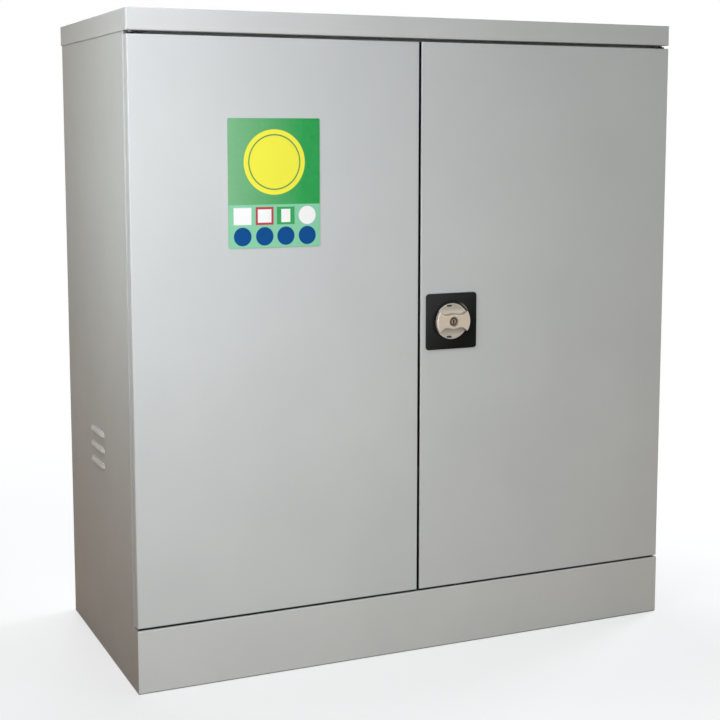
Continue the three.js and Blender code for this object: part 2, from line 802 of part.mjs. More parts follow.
function lockCover() {
  const [half, halfHeight] = [caseHalfWidth, caseHalfHeight];
  const back = coverFrontY + coverThickness;
  return block(-half, half, coverFrontY, back, -halfHeight, halfHeight).subtract(
    roundBack(spindleHoleRadius, 0, 0, coverFrontY - overrun, back + overrun),
  );
}

function lockScrew() {
  const tip = plateBackY - lockScrewBite;
  const headFront = caseFrontY + caseSheet + fit;
  const profile = [
    [0, tip],
    [lockScrewRadius, tip],
    [lockScrewRadius, headFront],
    [lockScrewHeadRadius, headFront],
    [lockScrewHeadRadius, headFront + lockScrewHeadHeight],
    [0, headFront + lockScrewHeadHeight],
  ];
  return turned(profile, pinSides, false);
}

// The cut for one finger scoop: outside the waved edge of the bar, down to a dished floor
function scoopCut(direction) {
  const reach = knobRadius + overrun;
  const waist = barWaistShare * knobRadius;
  const edge = new THREE.SplineCurve([
    new THREE.Vector2(-reach, barEndHalf),
    new THREE.Vector2(-knobRadius * Math.cos(Math.asin(barEndHalf / knobRadius)), barEndHalf),
    new THREE.Vector2(-waist, barWaistHalf),
    new THREE.Vector2(0, barMiddleHalf),
    new THREE.Vector2(waist, barWaistHalf),
    new THREE.Vector2(knobRadius * Math.cos(Math.asin(barEndHalf / knobRadius)), barEndHalf),
    new THREE.Vector2(reach, barEndHalf),
  ]);
  const wave = edge.getPoints(waveSteps).map((point) => [point.x, direction * point.y]);
  const beyond = [[reach, direction * reach], [-reach, direction * reach]];
  const dish = new THREE.QuadraticBezierCurve(
    new THREE.Vector2(knobBackY - scoopFootHeight, barWaistHalf),
    new THREE.Vector2(knobBackY - scoopBowlHeight, barWaistHalf + scoopFootRun),
    new THREE.Vector2(knobBackY - scoopRimHeight, reach),
  );
  const floor = dish.getPoints(dishSteps).map((point) => [point.x, direction * point.y]);
  const above = knobFrontY - overrun;
  const depthProfile = [...floor, [above, direction * reach], [above, 0], [knobBackY - scoopFootHeight, 0]];
  return backwards([...wave, ...beyond], above, knobBackY).intersect(sideways(depthProfile, -reach, reach));
}

function squareHole(y0, y1) {
  const half = spindleSide / 2 + fit;
  return block(-half, half, y0, y1, -half, half);
}

function knob() {
  const bossBackY = doorSheet;
  const profile = [
    [0, knobFrontY],
    [knobRadius - knobEdge, knobFrontY],
    [knobRadius, knobFrontY + knobEdge],
    [knobRadius, knobBackY],
    [knobBossRadius, knobBackY],
    [knobBossRadius, bossBackY],
    [0, bossBackY],
  ];
  const plugBackY = knobFrontY + plugSetback + plugLength + fit;
  return turned(profile, knobSides, false)
    .subtract(scoopCut(1))
    .subtract(scoopCut(-1))
    .subtract(roundBack(plugRadius + fit, 0, 0, knobFrontY - overrun, plugBackY, knobSides / 2))
    .subtract(squareHole(bossBackY - spindleSocketDepth, bossBackY + overrun));
}

function lockPlug() {
  const front = knobFrontY + plugSetback;
  return roundBack(plugRadius, 0, 0, front, front + plugLength, knobSides / 2).subtract(
    block(
      -keySlotWidth / 2,
      keySlotWidth / 2,
      front - overrun,
      front + keySlotDepth,
      -keySlotHeight / 2,
      keySlotHeight / 2,
    ),
  );
}

function spindle() {
  const half = spindleSide / 2;
  const front = doorSheet - spindleSocketDepth + fit;
  const back = tongueFrontY + tongueThickness + fit;
  return block(-half, half, front, back, -half, half).subtract(
    roundBack(tongueScrewRadius + fit, 0, 0, back - tongueScrewLength - fit, back + overrun),
  );
}

function tongueScrew() {
  const headFront = tongueFrontY + tongueThickness + 2 * fit;
  const profile = [
    [0, headFront - fit - tongueScrewLength],
    [tongueScrewRadius, headFront - fit - tongueScrewLength],
    [tongueScrewRadius, headFront],
    [tongueScrewHeadRadius, headFront],
    [tongueScrewHeadRadius, headFront + tongueScrewHeadHeight],
    [0, headFront + tongueScrewHeadHeight],
  ];
  return turned(profile, pinSides, false);
}

// Latch tongue: hangs down while the doors are free and swings behind the left door
function latchTongue() {
  const half = tongueWidth / 2;
  const back = tongueFrontY + tongueThickness;
  const plan = [
    [-half, -tongueReach, half / 2],
    [half, -tongueReach, half / 2],
    [half, half, half / 2],
    [-half, half, half / 2],
  ];
  return backwards(plan, tongueFrontY, back).subtract(squareHole(tongueFrontY - overrun, back + overrun));
}

// Involute pinion with a tooth towards each rack, thinned by half of the backlash
function pinion() {
  const baseRadius = pitchRadius * Math.cos(pressureAngle);
  const tipRadius = pitchRadius + addendum;
  const rootRadius = pitchRadius - dedendum;
  const involute = (radius) => {
    const pressure = Math.acos(Math.min(baseRadius / radius, 1));
    return Math.tan(pressure) - pressure;
  };
  const halfTooth = Math.PI / (2 * pinionTeeth) - backlash / (4 * pitchRadius);
  const halfAngle = (radius) => halfTooth + involute(pitchRadius) - involute(radius);
  const flank = [[rootRadius, halfAngle(baseRadius)]];
  for (let step = 0; step <= flankSteps; step++) {
    const radius = baseRadius + ((tipRadius - baseRadius) * step) / flankSteps;
    flank.push([radius, halfAngle(radius)]);
  }
  const points = [];
  for (let tooth = 0; tooth < pinionTeeth; tooth++) {
    const middle = (2 * Math.PI * tooth) / pinionTeeth;
    const rising = flank.map(([radius, angle]) => [radius, middle - angle]);
    const falling = flank.map(([radius, angle]) => [radius, middle + angle]).reverse();
    points.push(...rising, ...falling);
  }
  const corners = points.map(([radius, angle]) => [radius * Math.cos(angle), radius * Math.sin(angle)]);
  const front = rodMiddleY - pinionThickness / 2;
  const back = rodMiddleY + pinionThickness / 2;
  return backwards(corners, front, back).subtract(squareHole(front - overrun, back + overrun));
}

// Locking rod to the left of the pinion, with its rack towards the pinion
function lockingRod(length) {
  const slope = Math.tan(pressureAngle);
  const tipX = addendum - pitchRadius;
  const tipHalf = toothPitch / 4 - backlash / 4 - addendum * slope;
  const rootHalf = toothPitch / 4 - backlash / 4 + dedendum * slope;
  const corners = [];
  for (let tooth = -rackTeethBelow; tooth < rackTeethAbove; tooth++) {
    const z = (tooth + 1 / 2) * toothPitch;
    corners.push([-rodInnerX, z - rootHalf], [tipX, z - tipHalf], [tipX, z + tipHalf], [-rodInnerX, z + rootHalf]);
  }
  const bottom = -(rackTeethBelow + 1 / 2) * toothPitch;
  corners.push(
    [-rodInnerX, length, rodEndRadius],
    [-rodInnerX - rodWidth, length, rodEndRadius],
    [-rodInnerX - rodWidth, bottom],
    [-rodInnerX, bottom],
  );
  return backwards(corners, rodFromDoorFace, rodFromDoorFace + rodThickness);
}

// Assembly
const cabinet = new THREE.Group();
cabinet.position.y = -(cabinetDepth + knobFrontY) / 2;

const sideNames = [[-1, "left"], [1, "right"]];

cabinet.add(piece("top_lid", lid(), "paint"));
cabinet.add(piece("back_panel", backPanel(), "paint"));
cabinet.add(piece("top_rail", topRail(), "paint"));
cabinet.add(piece("floor_panel", floorPanel(), "paint"));
cabinet.add(piece("plinth_front", plinth(), "paint"));

for (const [side, name] of sideNames) {
  cabinet.add(piece(`${name}_side_panel`, sidePanel(side), "paint"));
  for (const [middleY, place] of [[frontUprightY, "front"], [rearUprightY, "rear"]]) {
    cabinet.add(piece(`${place}_${name}_upright`, upright(side, middleY), "zincPlate"));
    for (const [index, level] of [[lowerShelfSlot, "lower"], [upperShelfSlot, "upper"]]) {
      cabinet.add(piece(`${level}_clip_${place}_${name}`, shelfClip(side, middleY, index), "zincPlate"));
    }
  }
}

cabinet.add(piece("sump_tray", tray(floorZ + fit, sumpHeight), "paint"));
cabinet.add(piece("lower_shelf_tray", tray(slotZ(lowerShelfSlot) + clipRise + fit, trayHeight), "paint"));
cabinet.add(piece("upper_shelf_tray", tray(slotZ(upperShelfSlot) + clipRise + fit, trayHeight), "paint"));

for (const [side, name] of sideNames) {
  cabinet.add(piece(`${name}_door_panel`, side > 0 ? doorPan(side).subtract(lockCuts()) : doorPan(side), "paint"));
  cabinet.add(piece(`${name}_door_stiffener`, stiffener(side), "paint"));

  // The upper set of pivot pieces stands as made, and the lower set is turned over
  for (const [level, sheetZ, doorZ, gap, turn] of [
    ["upper", lidBottomZ, doorTopZ, doorTopGap, 0],
    ["lower", plinthHeight, doorBottomZ, doorBottomGap, Math.PI],
  ]) {
    const fixed = [
      [piece(`${level}_${name}_hinge_plate`, hingePlate(side), "steel"), sheetZ],
      [piece(`${level}_${name}_hinge_pin`, hingePin(gap), "steel"), sheetZ],
      [piece(`${level}_${name}_door_bush`, hingeBush(), "blackPlastic"), doorZ],
    ];
    for (const [mesh, z] of fixed) {
      mesh.position.set(side * pivotX, pivotFromFront, z);
      mesh.rotation.x = turn;
      cabinet.add(mesh);
    }
    const buffer = piece(`${level}_${name}_door_buffer`, doorBuffer(), "rubber");
    const inset = level === "upper" ? -bufferFromDoorEdge : bufferFromDoorEdge;
    buffer.position.set(side * bufferFromMiddle, 0, doorZ + inset);
    cabinet.add(buffer);
  }
}

cabinet.add(piece("sign_plate", signPlate(), "signGreen"));

// Everything on the lock is made about the knob's axis
const lock = new THREE.Group();
lock.position.set(knobX, 0, knobZ);
cabinet.add(lock);

lock.add(piece("handle_plate", handlePlate(), "blackPlastic"));
lock.add(piece("lock_case", lockCase(), "zincPlate"));
lock.add(piece("lock_cover", lockCover(), "zincPlate"));
for (const [sideX, sideZ] of lockScrewPlaces) {
  const name = `lock_screw_${sideZ > 0 ? "upper" : "lower"}_${sideX > 0 ? "right" : "left"}`;
  const screw = piece(name, lockScrew(), "steel");
  screw.position.set(sideX * lockScrewX, 0, sideZ * lockScrewZ);
  lock.add(screw);
}
lock.add(piece("handle_knob", knob(), "knobMetal"));
lock.add(piece("lock_plug", lockPlug(), "brass"));
lock.add(piece("knob_spindle", spindle(), "steel"));
lock.add(piece("drive_pinion", pinion(), "steel"));
lock.add(piece("latch_tongue", latchTongue(), "zincPlate"));
lock.add(piece("tongue_screw", tongueScrew(), "steel"));

lock.add(piece("upper_rod", lockingRod(upperRodLength), "zincPlate"));
const lowerRod = piece("lower_rod", lockingRod(lowerRodLength), "zincPlate");
lowerRod.rotation.y = Math.PI;
lock.add(lowerRod);

for (const [level, direction, doorEndZ] of [["upper", 1, doorTopZ], ["lower", -1, doorBottomZ]]) {
  const guide = piece(`${level}_rod_guide`, rodGuide(), "blackPlastic");
  guide.position.set(-direction * rodMiddleX, 0, doorEndZ - direction * guideFromDoorEnd - knobZ);
  lock.add(guide);
}

export default cabinet;
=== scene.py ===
import math

import bmesh
import bpy
import numpy as np
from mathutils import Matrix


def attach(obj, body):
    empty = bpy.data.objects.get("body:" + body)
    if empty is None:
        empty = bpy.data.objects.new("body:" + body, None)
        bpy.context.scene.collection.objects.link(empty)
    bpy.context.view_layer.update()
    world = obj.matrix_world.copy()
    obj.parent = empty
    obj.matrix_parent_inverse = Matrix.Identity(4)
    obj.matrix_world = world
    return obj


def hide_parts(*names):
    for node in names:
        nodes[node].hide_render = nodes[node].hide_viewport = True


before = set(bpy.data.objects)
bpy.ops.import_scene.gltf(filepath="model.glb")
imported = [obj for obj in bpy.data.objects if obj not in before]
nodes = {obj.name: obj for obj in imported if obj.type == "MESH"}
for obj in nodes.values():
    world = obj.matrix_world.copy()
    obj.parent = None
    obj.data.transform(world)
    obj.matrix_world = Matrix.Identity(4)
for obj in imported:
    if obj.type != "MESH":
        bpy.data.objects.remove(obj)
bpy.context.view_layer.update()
mm = 0.001
lockAxis = (55.3, 530.0)  # x and z of the knob, the lock cylinder and the handle plate
print("frame loaded:", len(nodes), "pieces of steelwork and lock")


# Camera: stands to the left of the cabinet, a little below the lid, and looks slightly down
cameraSetup = {
    "place": (-0.9799, -2.1780, 0.8261),
    "turnRight": 23.99,
    "tiltDown": 6.84,
    "lens": 71.06,
    "sensor": 36,
    "shiftY": -0.08,
}


def addCamera():
    data = bpy.data.cameras.new("studioCamera")
    data.lens = cameraSetup["lens"]
    data.sensor_width = cameraSetup["sensor"]
    data.shift_y = cameraSetup["shiftY"]
    camera = bpy.data.objects.new("studioCamera", data)
    camera.location = cameraSetup["place"]
    tilt, turn = math.radians(cameraSetup["tiltDown"]), math.radians(cameraSetup["turnRight"])
    camera.rotation_euler = (math.pi / 2 - tilt, 0, -turn)
    bpy.context.scene.collection.objects.link(camera)
    bpy.context.scene.camera = camera


addCamera()
bpy.context.scene.view_settings.view_transform = "Standard"
print("camera placed")


# Shader nodes that the studio and the finishes share
def link(tree, source, target):
    tree.links.new(source, target)


def calculated(tree, operation, *values):
    # One math node: each value is a socket or a number
    node = tree.nodes.new("ShaderNodeMath")
    node.operation = operation
    for index, value in enumerate(values):
        if isinstance(value, (int, float)):
            node.inputs[index].default_value = value
        else:
            link(tree, value, node.inputs[index])
    return node.outputs[0]


def rootOfSquares(tree, first, second):
    square = calculated(tree, "MULTIPLY", first, first)
    return calculated(tree, "SQRT", calculated(tree, "MULTIPLY_ADD", second, second, square))


def objectAxes(tree):
    # X, Y and Z of the Object coordinates, in metres
    place = tree.nodes.new("ShaderNodeTexCoord")
    axes = tree.nodes.new("ShaderNodeSeparateXYZ")
    link(tree, place.outputs["Object"], axes.inputs[0])
    return axes.outputs


def noise(tree, scale, detail=2.0, stretch=(1, 1, 1)):
    # Cloudy noise on the Object coordinates, drawn out along an axis where stretch is small
    place = tree.nodes.new("ShaderNodeTexCoord")
    mapping = tree.nodes.new("ShaderNodeMapping")
    mapping.inputs["Scale"].default_value = stretch
    cloud = tree.nodes.new("ShaderNodeTexNoise")
    cloud.inputs["Scale"].default_value = scale
    cloud.inputs["Detail"].default_value = detail
    link(tree, place.outputs["Object"], mapping.inputs["Vector"])
    link(tree, mapping.outputs["Vector"], cloud.inputs["Vector"])
    return cloud.outputs["Fac"]


def spread(tree, value, low, high, fromLow=0.3, fromHigh=0.7, curve="LINEAR"):
    # Carries a value between fromLow and fromHigh over to the range from low to high
    ranged = tree.nodes.new("ShaderNodeMapRange")
    ranged.interpolation_type = curve
    ranged.inputs["From Min"].default_value = fromLow
    ranged.inputs["From Max"].default_value = fromHigh
    ranged.inputs["To Min"].default_value = low
    ranged.inputs["To Max"].default_value = high
    link(tree, value, ranged.inputs["Value"])
    return ranged.outputs["Result"]


def tinted(tree, value, dark, light):
    # The colour between dark and light that the value picks
    mix = tree.nodes.new("ShaderNodeMix")
    mix.data_type = "RGBA"
    mix.inputs["A"].default_value = (*dark, 1)
    mix.inputs["B"].default_value = (*light, 1)
    link(tree, value, mix.inputs["Factor"])
    return mix.outputs["Result"]


def mixedOver(tree, colour, amount, over):
    # The colour with another laid over it by the amount
    mix = tree.nodes.new("ShaderNodeMix")
    mix.data_type = "RGBA"
    link(tree, amount, mix.inputs["Factor"])
    link(tree, colour, mix.inputs["A"])
    mix.inputs["B"].default_value = (*over, 1)
    return mix.outputs["Result"]


def mixedShaders(tree, share, first, second):
    mix = tree.nodes.new("ShaderNodeMixShader")
    link(tree, share, mix.inputs[0])
    link(tree, first.outputs[0], mix.inputs[1])
    link(tree, second.outputs[0], mix.inputs[2])
    return mix


def seenDirectly(tree):
    # The larger of camera, glossy and transmission ray, so that metal shows the white surround too
    path = tree.nodes.new("ShaderNodeLightPath").outputs
    larger = calculated(tree, "MAXIMUM", path["Is Camera Ray"], path["Is Glossy Ray"])
    return calculated(tree, "MAXIMUM", larger, path["Is Transmission Ray"])


# Studio: a pale floor, a white surround and soft boxes, in metres
studio = {
    "floorHalf": 12.0,
    "floorDrop": 0.0003,
    "floorPaint": (0.95, 0.95, 0.95),
    "floorBounce": (0.38, 0.17, 0.058),
    "shadowShare": 0.35,
    "whiteFrom": 0.7,
    "whiteTo": 1.9,
    "surround": (1, 1, 1),
    "ambient": 0.062,
    "ambientTint": (1, 0.88, 0.68),
    "cover": {"X": 0.457, "Y": 0.203},  # half the floor that the cabinet hides
}
softBoxes = {
    "highLeftCorner": {
        "place": (-0.75, -0.75, 1.35), "aim": (-0.4, -0.1, 0.8),
        "size": 0.5, "watts": 3.93, "tint": (1.045, 1, 1.1),
    },
    "nearLeftSide": {
        "place": (-1.1, -0.6, 1.0), "aim": (-0.46, -0.1, 0.7),
        "size": 0.5, "watts": 0.93, "tint": (0.9, 1, 1.03), "spread": 80,
    },
    "leftSide": {
        "place": (-1.2, 0.3, 1.75), "aim": (-0.46, 0.0, 1.05),
        "size": 0.6, "watts": 0.46, "tint": (0.98, 1, 0.92), "spread": 65,
    },
    "lowFrontLeft": {
        "place": (-0.6, -1.6, 0.35), "aim": (-0.2, 0, 0.3),
        "size": 0.7, "watts": 11.0, "tint": (0.91, 1, 1.05),
    },
    "frontRight": {
        "place": (2.2, -2.4, 1.5), "aim": (0, 0, 0.6),
        "size": 1.4, "watts": 20.1, "tint": (0.82, 1, 1.04),
    },
    "rightSide": {
        "place": (2.8, 0.9, 1.5), "aim": (0.2, 0, 0.5),
        "size": 1.2, "watts": 56, "tint": (0.96, 1, 1.04),
    },
    "behind": {
        "place": (0.2, 3.2, 1.6), "aim": (0, 0, 0.5),
        "size": 1.4, "watts": 58, "tint": (0.93, 1, 1.08),
    },
    "overhead": {
        "place": (0, 0.6, 2.9), "aim": (0, 0.1, 0.9),
        "size": 0.8, "watts": 23,
    },
}


def addWorld():
    world = bpy.data.worlds.new("whiteStudio")
    world.use_nodes = True
    tree = world.node_tree
    tree.nodes.clear()
    out = tree.nodes.new("ShaderNodeOutputWorld")
    ambient = tree.nodes.new("ShaderNodeBackground")
    ambient.inputs["Color"].default_value = (*studio["ambientTint"], 1)
    ambient.inputs["Strength"].default_value = studio["ambient"]
    white = tree.nodes.new("ShaderNodeBackground")
    white.inputs["Color"].default_value = (*studio["surround"], 1)
    both = mixedShaders(tree, seenDirectly(tree), ambient, white)
    link(tree, both.outputs[0], out.inputs["Surface"])
    bpy.context.scene.world = world


def floorWhiteness(tree):
    # Far from the cabinet the floor is plain white, and near it a share of the real shading stays
    place = tree.nodes.new("ShaderNodeTexCoord")
    distance = tree.nodes.new("ShaderNodeVectorMath")
    distance.operation = "LENGTH"
    link(tree, place.outputs["Object"], distance.inputs[0])
    fade = spread(
        tree, distance.outputs["Value"], 1 - studio["shadowShare"], 1,
        studio["whiteFrom"], studio["whiteTo"], "SMOOTHSTEP",
    )
    # Under the cabinet all of it stays, so that no white shows through the lower rod's hole
    axes = objectAxes(tree)
    beyond = [
        calculated(tree, "GREATER_THAN", calculated(tree, "ABSOLUTE", axes[axis]), half)
        for axis, half in studio["cover"].items()
    ]
    return calculated(tree, "MULTIPLY", fade, calculated(tree, "MAXIMUM", *beyond))


def floorMaterial():
    # The camera sees white mixed with shaded paint, and the light thrown back up is a warm floor's
    material = bpy.data.materials.new("paleFloor")
    material.use_nodes = True
    tree = material.node_tree
    tree.nodes.clear()
    out = tree.nodes.new("ShaderNodeOutputMaterial")
    paint = tree.nodes.new("ShaderNodeBsdfDiffuse")
    paint.inputs["Color"].default_value = (*studio["floorPaint"], 1)
    bounce = tree.nodes.new("ShaderNodeBsdfDiffuse")
    bounce.inputs["Color"].default_value = (*studio["floorBounce"], 1)
    glow = tree.nodes.new("ShaderNodeEmission")
    pale = mixedShaders(tree, floorWhiteness(tree), paint, glow)
    both = mixedShaders(tree, seenDirectly(tree), bounce, pale)
    link(tree, both.outputs[0], out.inputs["Surface"])
    return material


def addFloor():
    half, drop = studio["floorHalf"], studio["floorDrop"]
    corners = [(x * half, y * half, -drop) for x, y in ((-1, -1), (1, -1), (1, 1), (-1, 1))]
    mesh = bpy.data.meshes.new("studioFloor")
    mesh.from_pydata(corners, [], [(0, 1, 2, 3)])
    mesh.materials.append(floorMaterial())
    floor = bpy.data.objects.new("studioFloor", mesh)
    bpy.context.scene.collection.objects.link(floor)


def addSoftBoxes():
    for name, box in softBoxes.items():
        data = bpy.data.lights.new(name, "AREA")
        data.shape = "DISK"
        data.size = box["size"]
        data.energy = box["watts"]
        data.color = box.get("tint", (1, 1, 1))
        data.spread = math.radians(box.get("spread", 180))
        lamp = bpy.data.objects.new(name, data)
        lamp.location = box["place"]
        lamp.visible_camera = False
        away = np.array(box["aim"], float) - np.array(box["place"], float)
        rise = math.atan2(away[2], math.hypot(away[0], away[1]))
        lamp.rotation_euler = (math.pi / 2 + rise, 0, math.atan2(-away[0], away[1]))
        bpy.context.scene.collection.objects.link(lamp)


addWorld()
addFloor()
addSoftBoxes()
print("studio ready:", len(softBoxes), "soft boxes")


# Finishes. In their dictionaries plain is the colour, roughness and metalness that a viewer
# without nodes shows, a noise is its scale, detail and stretch, and a bump is its noise, depth in
# metres and strength
def newMaterial(name, colour, roughness, metallic=0.0):
    material = bpy.data.materials.new(name)
    material.use_nodes = True
    tree = material.node_tree
    shader = tree.nodes["Principled BSDF"]
    shader.inputs["Base Color"].default_value = (*colour, 1)
    shader.inputs["Roughness"].default_value = roughness
    shader.inputs["Metallic"].default_value = metallic
    return material, tree, shader


def bumped(tree, shader, bumps):
    # Bumps laid over each other
    normal = None
    for grain, depth, strength in bumps:
        bump = tree.nodes.new("ShaderNodeBump")
        bump.inputs["Distance"].default_value = depth
        bump.inputs["Strength"].default_value = strength
        link(tree, noise(tree, *grain), bump.inputs["Height"])
        if normal:
            link(tree, normal, bump.inputs["Normal"])
        normal = bump.outputs["Normal"]
    link(tree, normal, shader.inputs["Normal"])


def roughened(tree, shader, value, look):
    # Roughness that follows the value between the two ends that the look gives
    link(tree, spread(tree, value, *look["roughness"]), shader.inputs["Roughness"])


powderCoat = {
    "dark": (0.562, 0.582, 0.577),
    "light": (0.596, 0.614, 0.609),
    "clouds": (5, 3),
    "plainRoughness": 0.44,
    "roughness": (0.46, 0.54),
    "grain": (60, 4),
    "bumps": [((420, 2), 0.00006, 0.6), ((3.2, 1), 0.0006, 0.5)],
}
# The coat on each place, copies of one paint: a tone of painted light for how the light falls
# there, gloss, and how dark the painted shade in its gaps is and how far it reaches
coats = {
    "rest": {
        "name": "lightGreyPowderCoat", "pieces": (),
        "lightingTone": (1.045, 1.03, 1.01), "specular": 0.12,
        "gapShade": {"shade": 0.13, "closed": 0.2, "open": 0.5},
    },
    "doors": {
        "name": "lightGreyDoorCoat", "pieces": ("left_door_panel", "right_door_panel"),
        "lightingTone": (1, 1, 1), "specular": 0.14,
        "gapShade": {"shade": 0.01, "closed": 0.38, "open": 0.56},
    },
    "top": {
        "name": "lightGreyTopCoat", "pieces": ("top_lid", "top_rail"),
        "lightingTone": (1.03, 1.02, 1.01), "specular": 0.10,
        "gapShade": {"shade": 1.0, "closed": 0.2, "open": 0.5},
    },
    "sides": {
        "name": "lightGreySideCoat", "pieces": ("left_side_panel", "right_side_panel"),
        "lightingTone": (1, 0.995, 0.965), "specular": 0.05,
        "gapShade": {"shade": 0.75, "closed": 0.2, "open": 0.5},
        "hoodLight": {"colour": (0.80, 0.79, 0.75), "from": 0.4602, "to": 0.4612},
    },
}
gapSearch = {"reach": 0.022, "samples": 8}


def paintedShadeInGaps(tree, colour, dark, place="rest"):
    # Painted shade: the less open space there is within reach, the more the shaded dark colour
    # covers the other
    gap = tree.nodes.new("ShaderNodeAmbientOcclusion")
    gap.samples = gapSearch["samples"]
    gap.inputs["Distance"].default_value = gapSearch["reach"]
    gapShade = coats[place]["gapShade"]
    amount = spread(tree, gap.outputs["AO"], 1, 0, gapShade["closed"], gapShade["open"])
    return mixedOver(tree, colour, amount, np.multiply(dark, gapShade["shade"]))


def paintMaterial(place):
    coat, plain = coats[place], (powderCoat["light"], powderCoat["plainRoughness"])
    material, tree, shader = newMaterial(coat["name"], *plain)
    clouds = spread(tree, noise(tree, *powderCoat["clouds"]), 0, 1)
    # Each place's tone is painted light
    dark, light = (np.multiply(powderCoat[end], coat["lightingTone"]) for end in ("dark", "light"))
    paint = tinted(tree, clouds, dark, light)
    if "hoodLight" in coat:
        # The pressed hoods stand proud of the side panels, and their coat is painted lighter:
        # painted light on their tops, which face up into the light
        hoodLight, fromMiddle = coat["hoodLight"], calculated(tree, "ABSOLUTE", objectAxes(tree)["X"])
        amount = spread(tree, fromMiddle, 0, 1, hoodLight["from"], hoodLight["to"])
        paint = mixedOver(tree, paint, amount, hoodLight["colour"])
    paint = paintedShadeInGaps(tree, paint, powderCoat["dark"], place)
    link(tree, paint, shader.inputs["Base Color"])
    shader.inputs["Specular IOR Level"].default_value = coat["specular"]
    roughened(tree, shader, noise(tree, *powderCoat["grain"]), powderCoat)
    bumped(tree, shader, powderCoat["bumps"])
    return material


zincPlate = {
    "plain": ((0.47, 0.48, 0.47), 0.4, 1.0),
    "dark": (0.38, 0.39, 0.39),
    "light": (0.55, 0.55, 0.53),
    "clouds": (40, 4),
    "roughness": (0.34, 0.5),
    "grain": (160, 3),
    "bumps": [((900, 2), 0.00003, 0.4)],
}


def zincMaterial():
    material, tree, shader = newMaterial("zincPlate", *zincPlate["plain"])
    clouds = spread(tree, noise(tree, *zincPlate["clouds"]), 0, 1)
    plating = tinted(tree, clouds, zincPlate["dark"], zincPlate["light"])
    # Painted shade darkens the plating in gaps
    link(tree, paintedShadeInGaps(tree, plating, zincPlate["dark"]), shader.inputs["Base Color"])
    roughened(tree, shader, noise(tree, *zincPlate["grain"]), zincPlate)
    bumped(tree, shader, zincPlate["bumps"])
    return material


turnedSteel = {
    "plain": ((0.50, 0.50, 0.51), 0.34, 1.0),
    "dark": (0.42, 0.42, 0.43),
    "light": (0.58, 0.58, 0.58),
    "streaks": (500, 3, (1, 1, 0.05)),
    "roughness": (0.26, 0.42),
    "bumps": [((500, 3, (1, 1, 0.05)), 0.00003, 0.4)],
}


def steelMaterial():
    material, tree, shader = newMaterial("turnedSteel", *turnedSteel["plain"])
    streaks = noise(tree, *turnedSteel["streaks"])
    roughened(tree, shader, streaks, turnedSteel)
    bare = tinted(tree, streaks, turnedSteel["dark"], turnedSteel["light"])
    # Painted shade darkens the steel in gaps
    link(tree, paintedShadeInGaps(tree, bare, turnedSteel["dark"]), shader.inputs["Base Color"])
    bumped(tree, shader, turnedSteel["bumps"])
    return material


blackPlastic = {
    "litBlack": (0.031, 0.031, 0.032),
    "shadedBlack": (0.0055, 0.0055, 0.005),
    "ramp": (-0.530, -0.420),
    "rampGrain": 0.02,
    "plainRoughness": 0.45,
    "specular": 0.05,
    "roughness": (0.38, 0.5),
    "grain": (1800, 2),
    "bumps": [((1800, 2), 0.00005, 0.35)],
    "paintedGlint": (0.17, 0.17, 0.145),
    "glintAt": (0.0790, 0.5520),
    "glintReach": (0.013, 0.004),
    "recessWall": {"from": (0.0308, 0.0316), "to": (0.0328, 0.0336)},
}


def distanceFrom(tree, axes, centre):
    # The distance in the front's plane from a point given by its x and z in metres
    fromX = calculated(tree, "SUBTRACT", axes["X"], centre[0])
    fromZ = calculated(tree, "SUBTRACT", axes["Z"], centre[1])
    return rootOfSquares(tree, fromX, fromZ)


def glintShare(tree, axes):
    # Painted highlight: a lit stripe on the wall of the recess beside the knob's upper hollow
    wall = blackPlastic["recessWall"]
    reach = distanceFrom(tree, axes, [length * mm for length in lockAxis])
    inner, outer = spread(tree, reach, 0, 1, *wall["from"]), spread(tree, reach, 1, 0, *wall["to"])
    onWall = calculated(tree, "MULTIPLY", inner, outer)
    away = distanceFrom(tree, axes, blackPlastic["glintAt"])
    nearby = spread(tree, away, 0, 1, *blackPlastic["glintReach"])
    return calculated(tree, "MULTIPLY", onWall, nearby)


def blackPlasticMaterial():
    plain = (blackPlastic["shadedBlack"], blackPlastic["plainRoughness"])
    material, tree, shader = newMaterial("blackPlastic", *plain)
    shader.inputs["Specular IOR Level"].default_value = blackPlastic["specular"]
    grain = noise(tree, *blackPlastic["grain"])
    roughened(tree, shader, grain, blackPlastic)
    # Painted light: lighter towards the upper left, where the light falls, and darker towards the
    # lower right: a ramp along x minus z, a little grainy
    axes = objectAxes(tree)
    along = calculated(tree, "SUBTRACT", axes["X"], axes["Z"])
    along = calculated(tree, "MULTIPLY_ADD", grain, blackPlastic["rampGrain"], along)
    ramp = spread(tree, along, 0, 1, *blackPlastic["ramp"])
    colour = tinted(tree, ramp, blackPlastic["litBlack"], blackPlastic["shadedBlack"])
    colour = mixedOver(tree, colour, glintShare(tree, axes), blackPlastic["paintedGlint"])
    link(tree, colour, shader.inputs["Base Color"])
    bumped(tree, shader, blackPlastic["bumps"])
    return material


blackRubber = {
    "plain": ((0.02, 0.02, 0.02), 0.8),
    "dark": (0.014, 0.014, 0.014),
    "light": (0.028, 0.027, 0.026),
    "grain": (900, 3),
    "bumps": [((900, 3), 0.0001, 0.4)],
}


def rubberMaterial():
    material, tree, shader = newMaterial("blackRubber", *blackRubber["plain"])
    grain = noise(tree, *blackRubber["grain"])
    colour = tinted(tree, grain, blackRubber["dark"], blackRubber["light"])
    link(tree, colour, shader.inputs["Base Color"])
    bumped(tree, shader, blackRubber["bumps"])
    return material


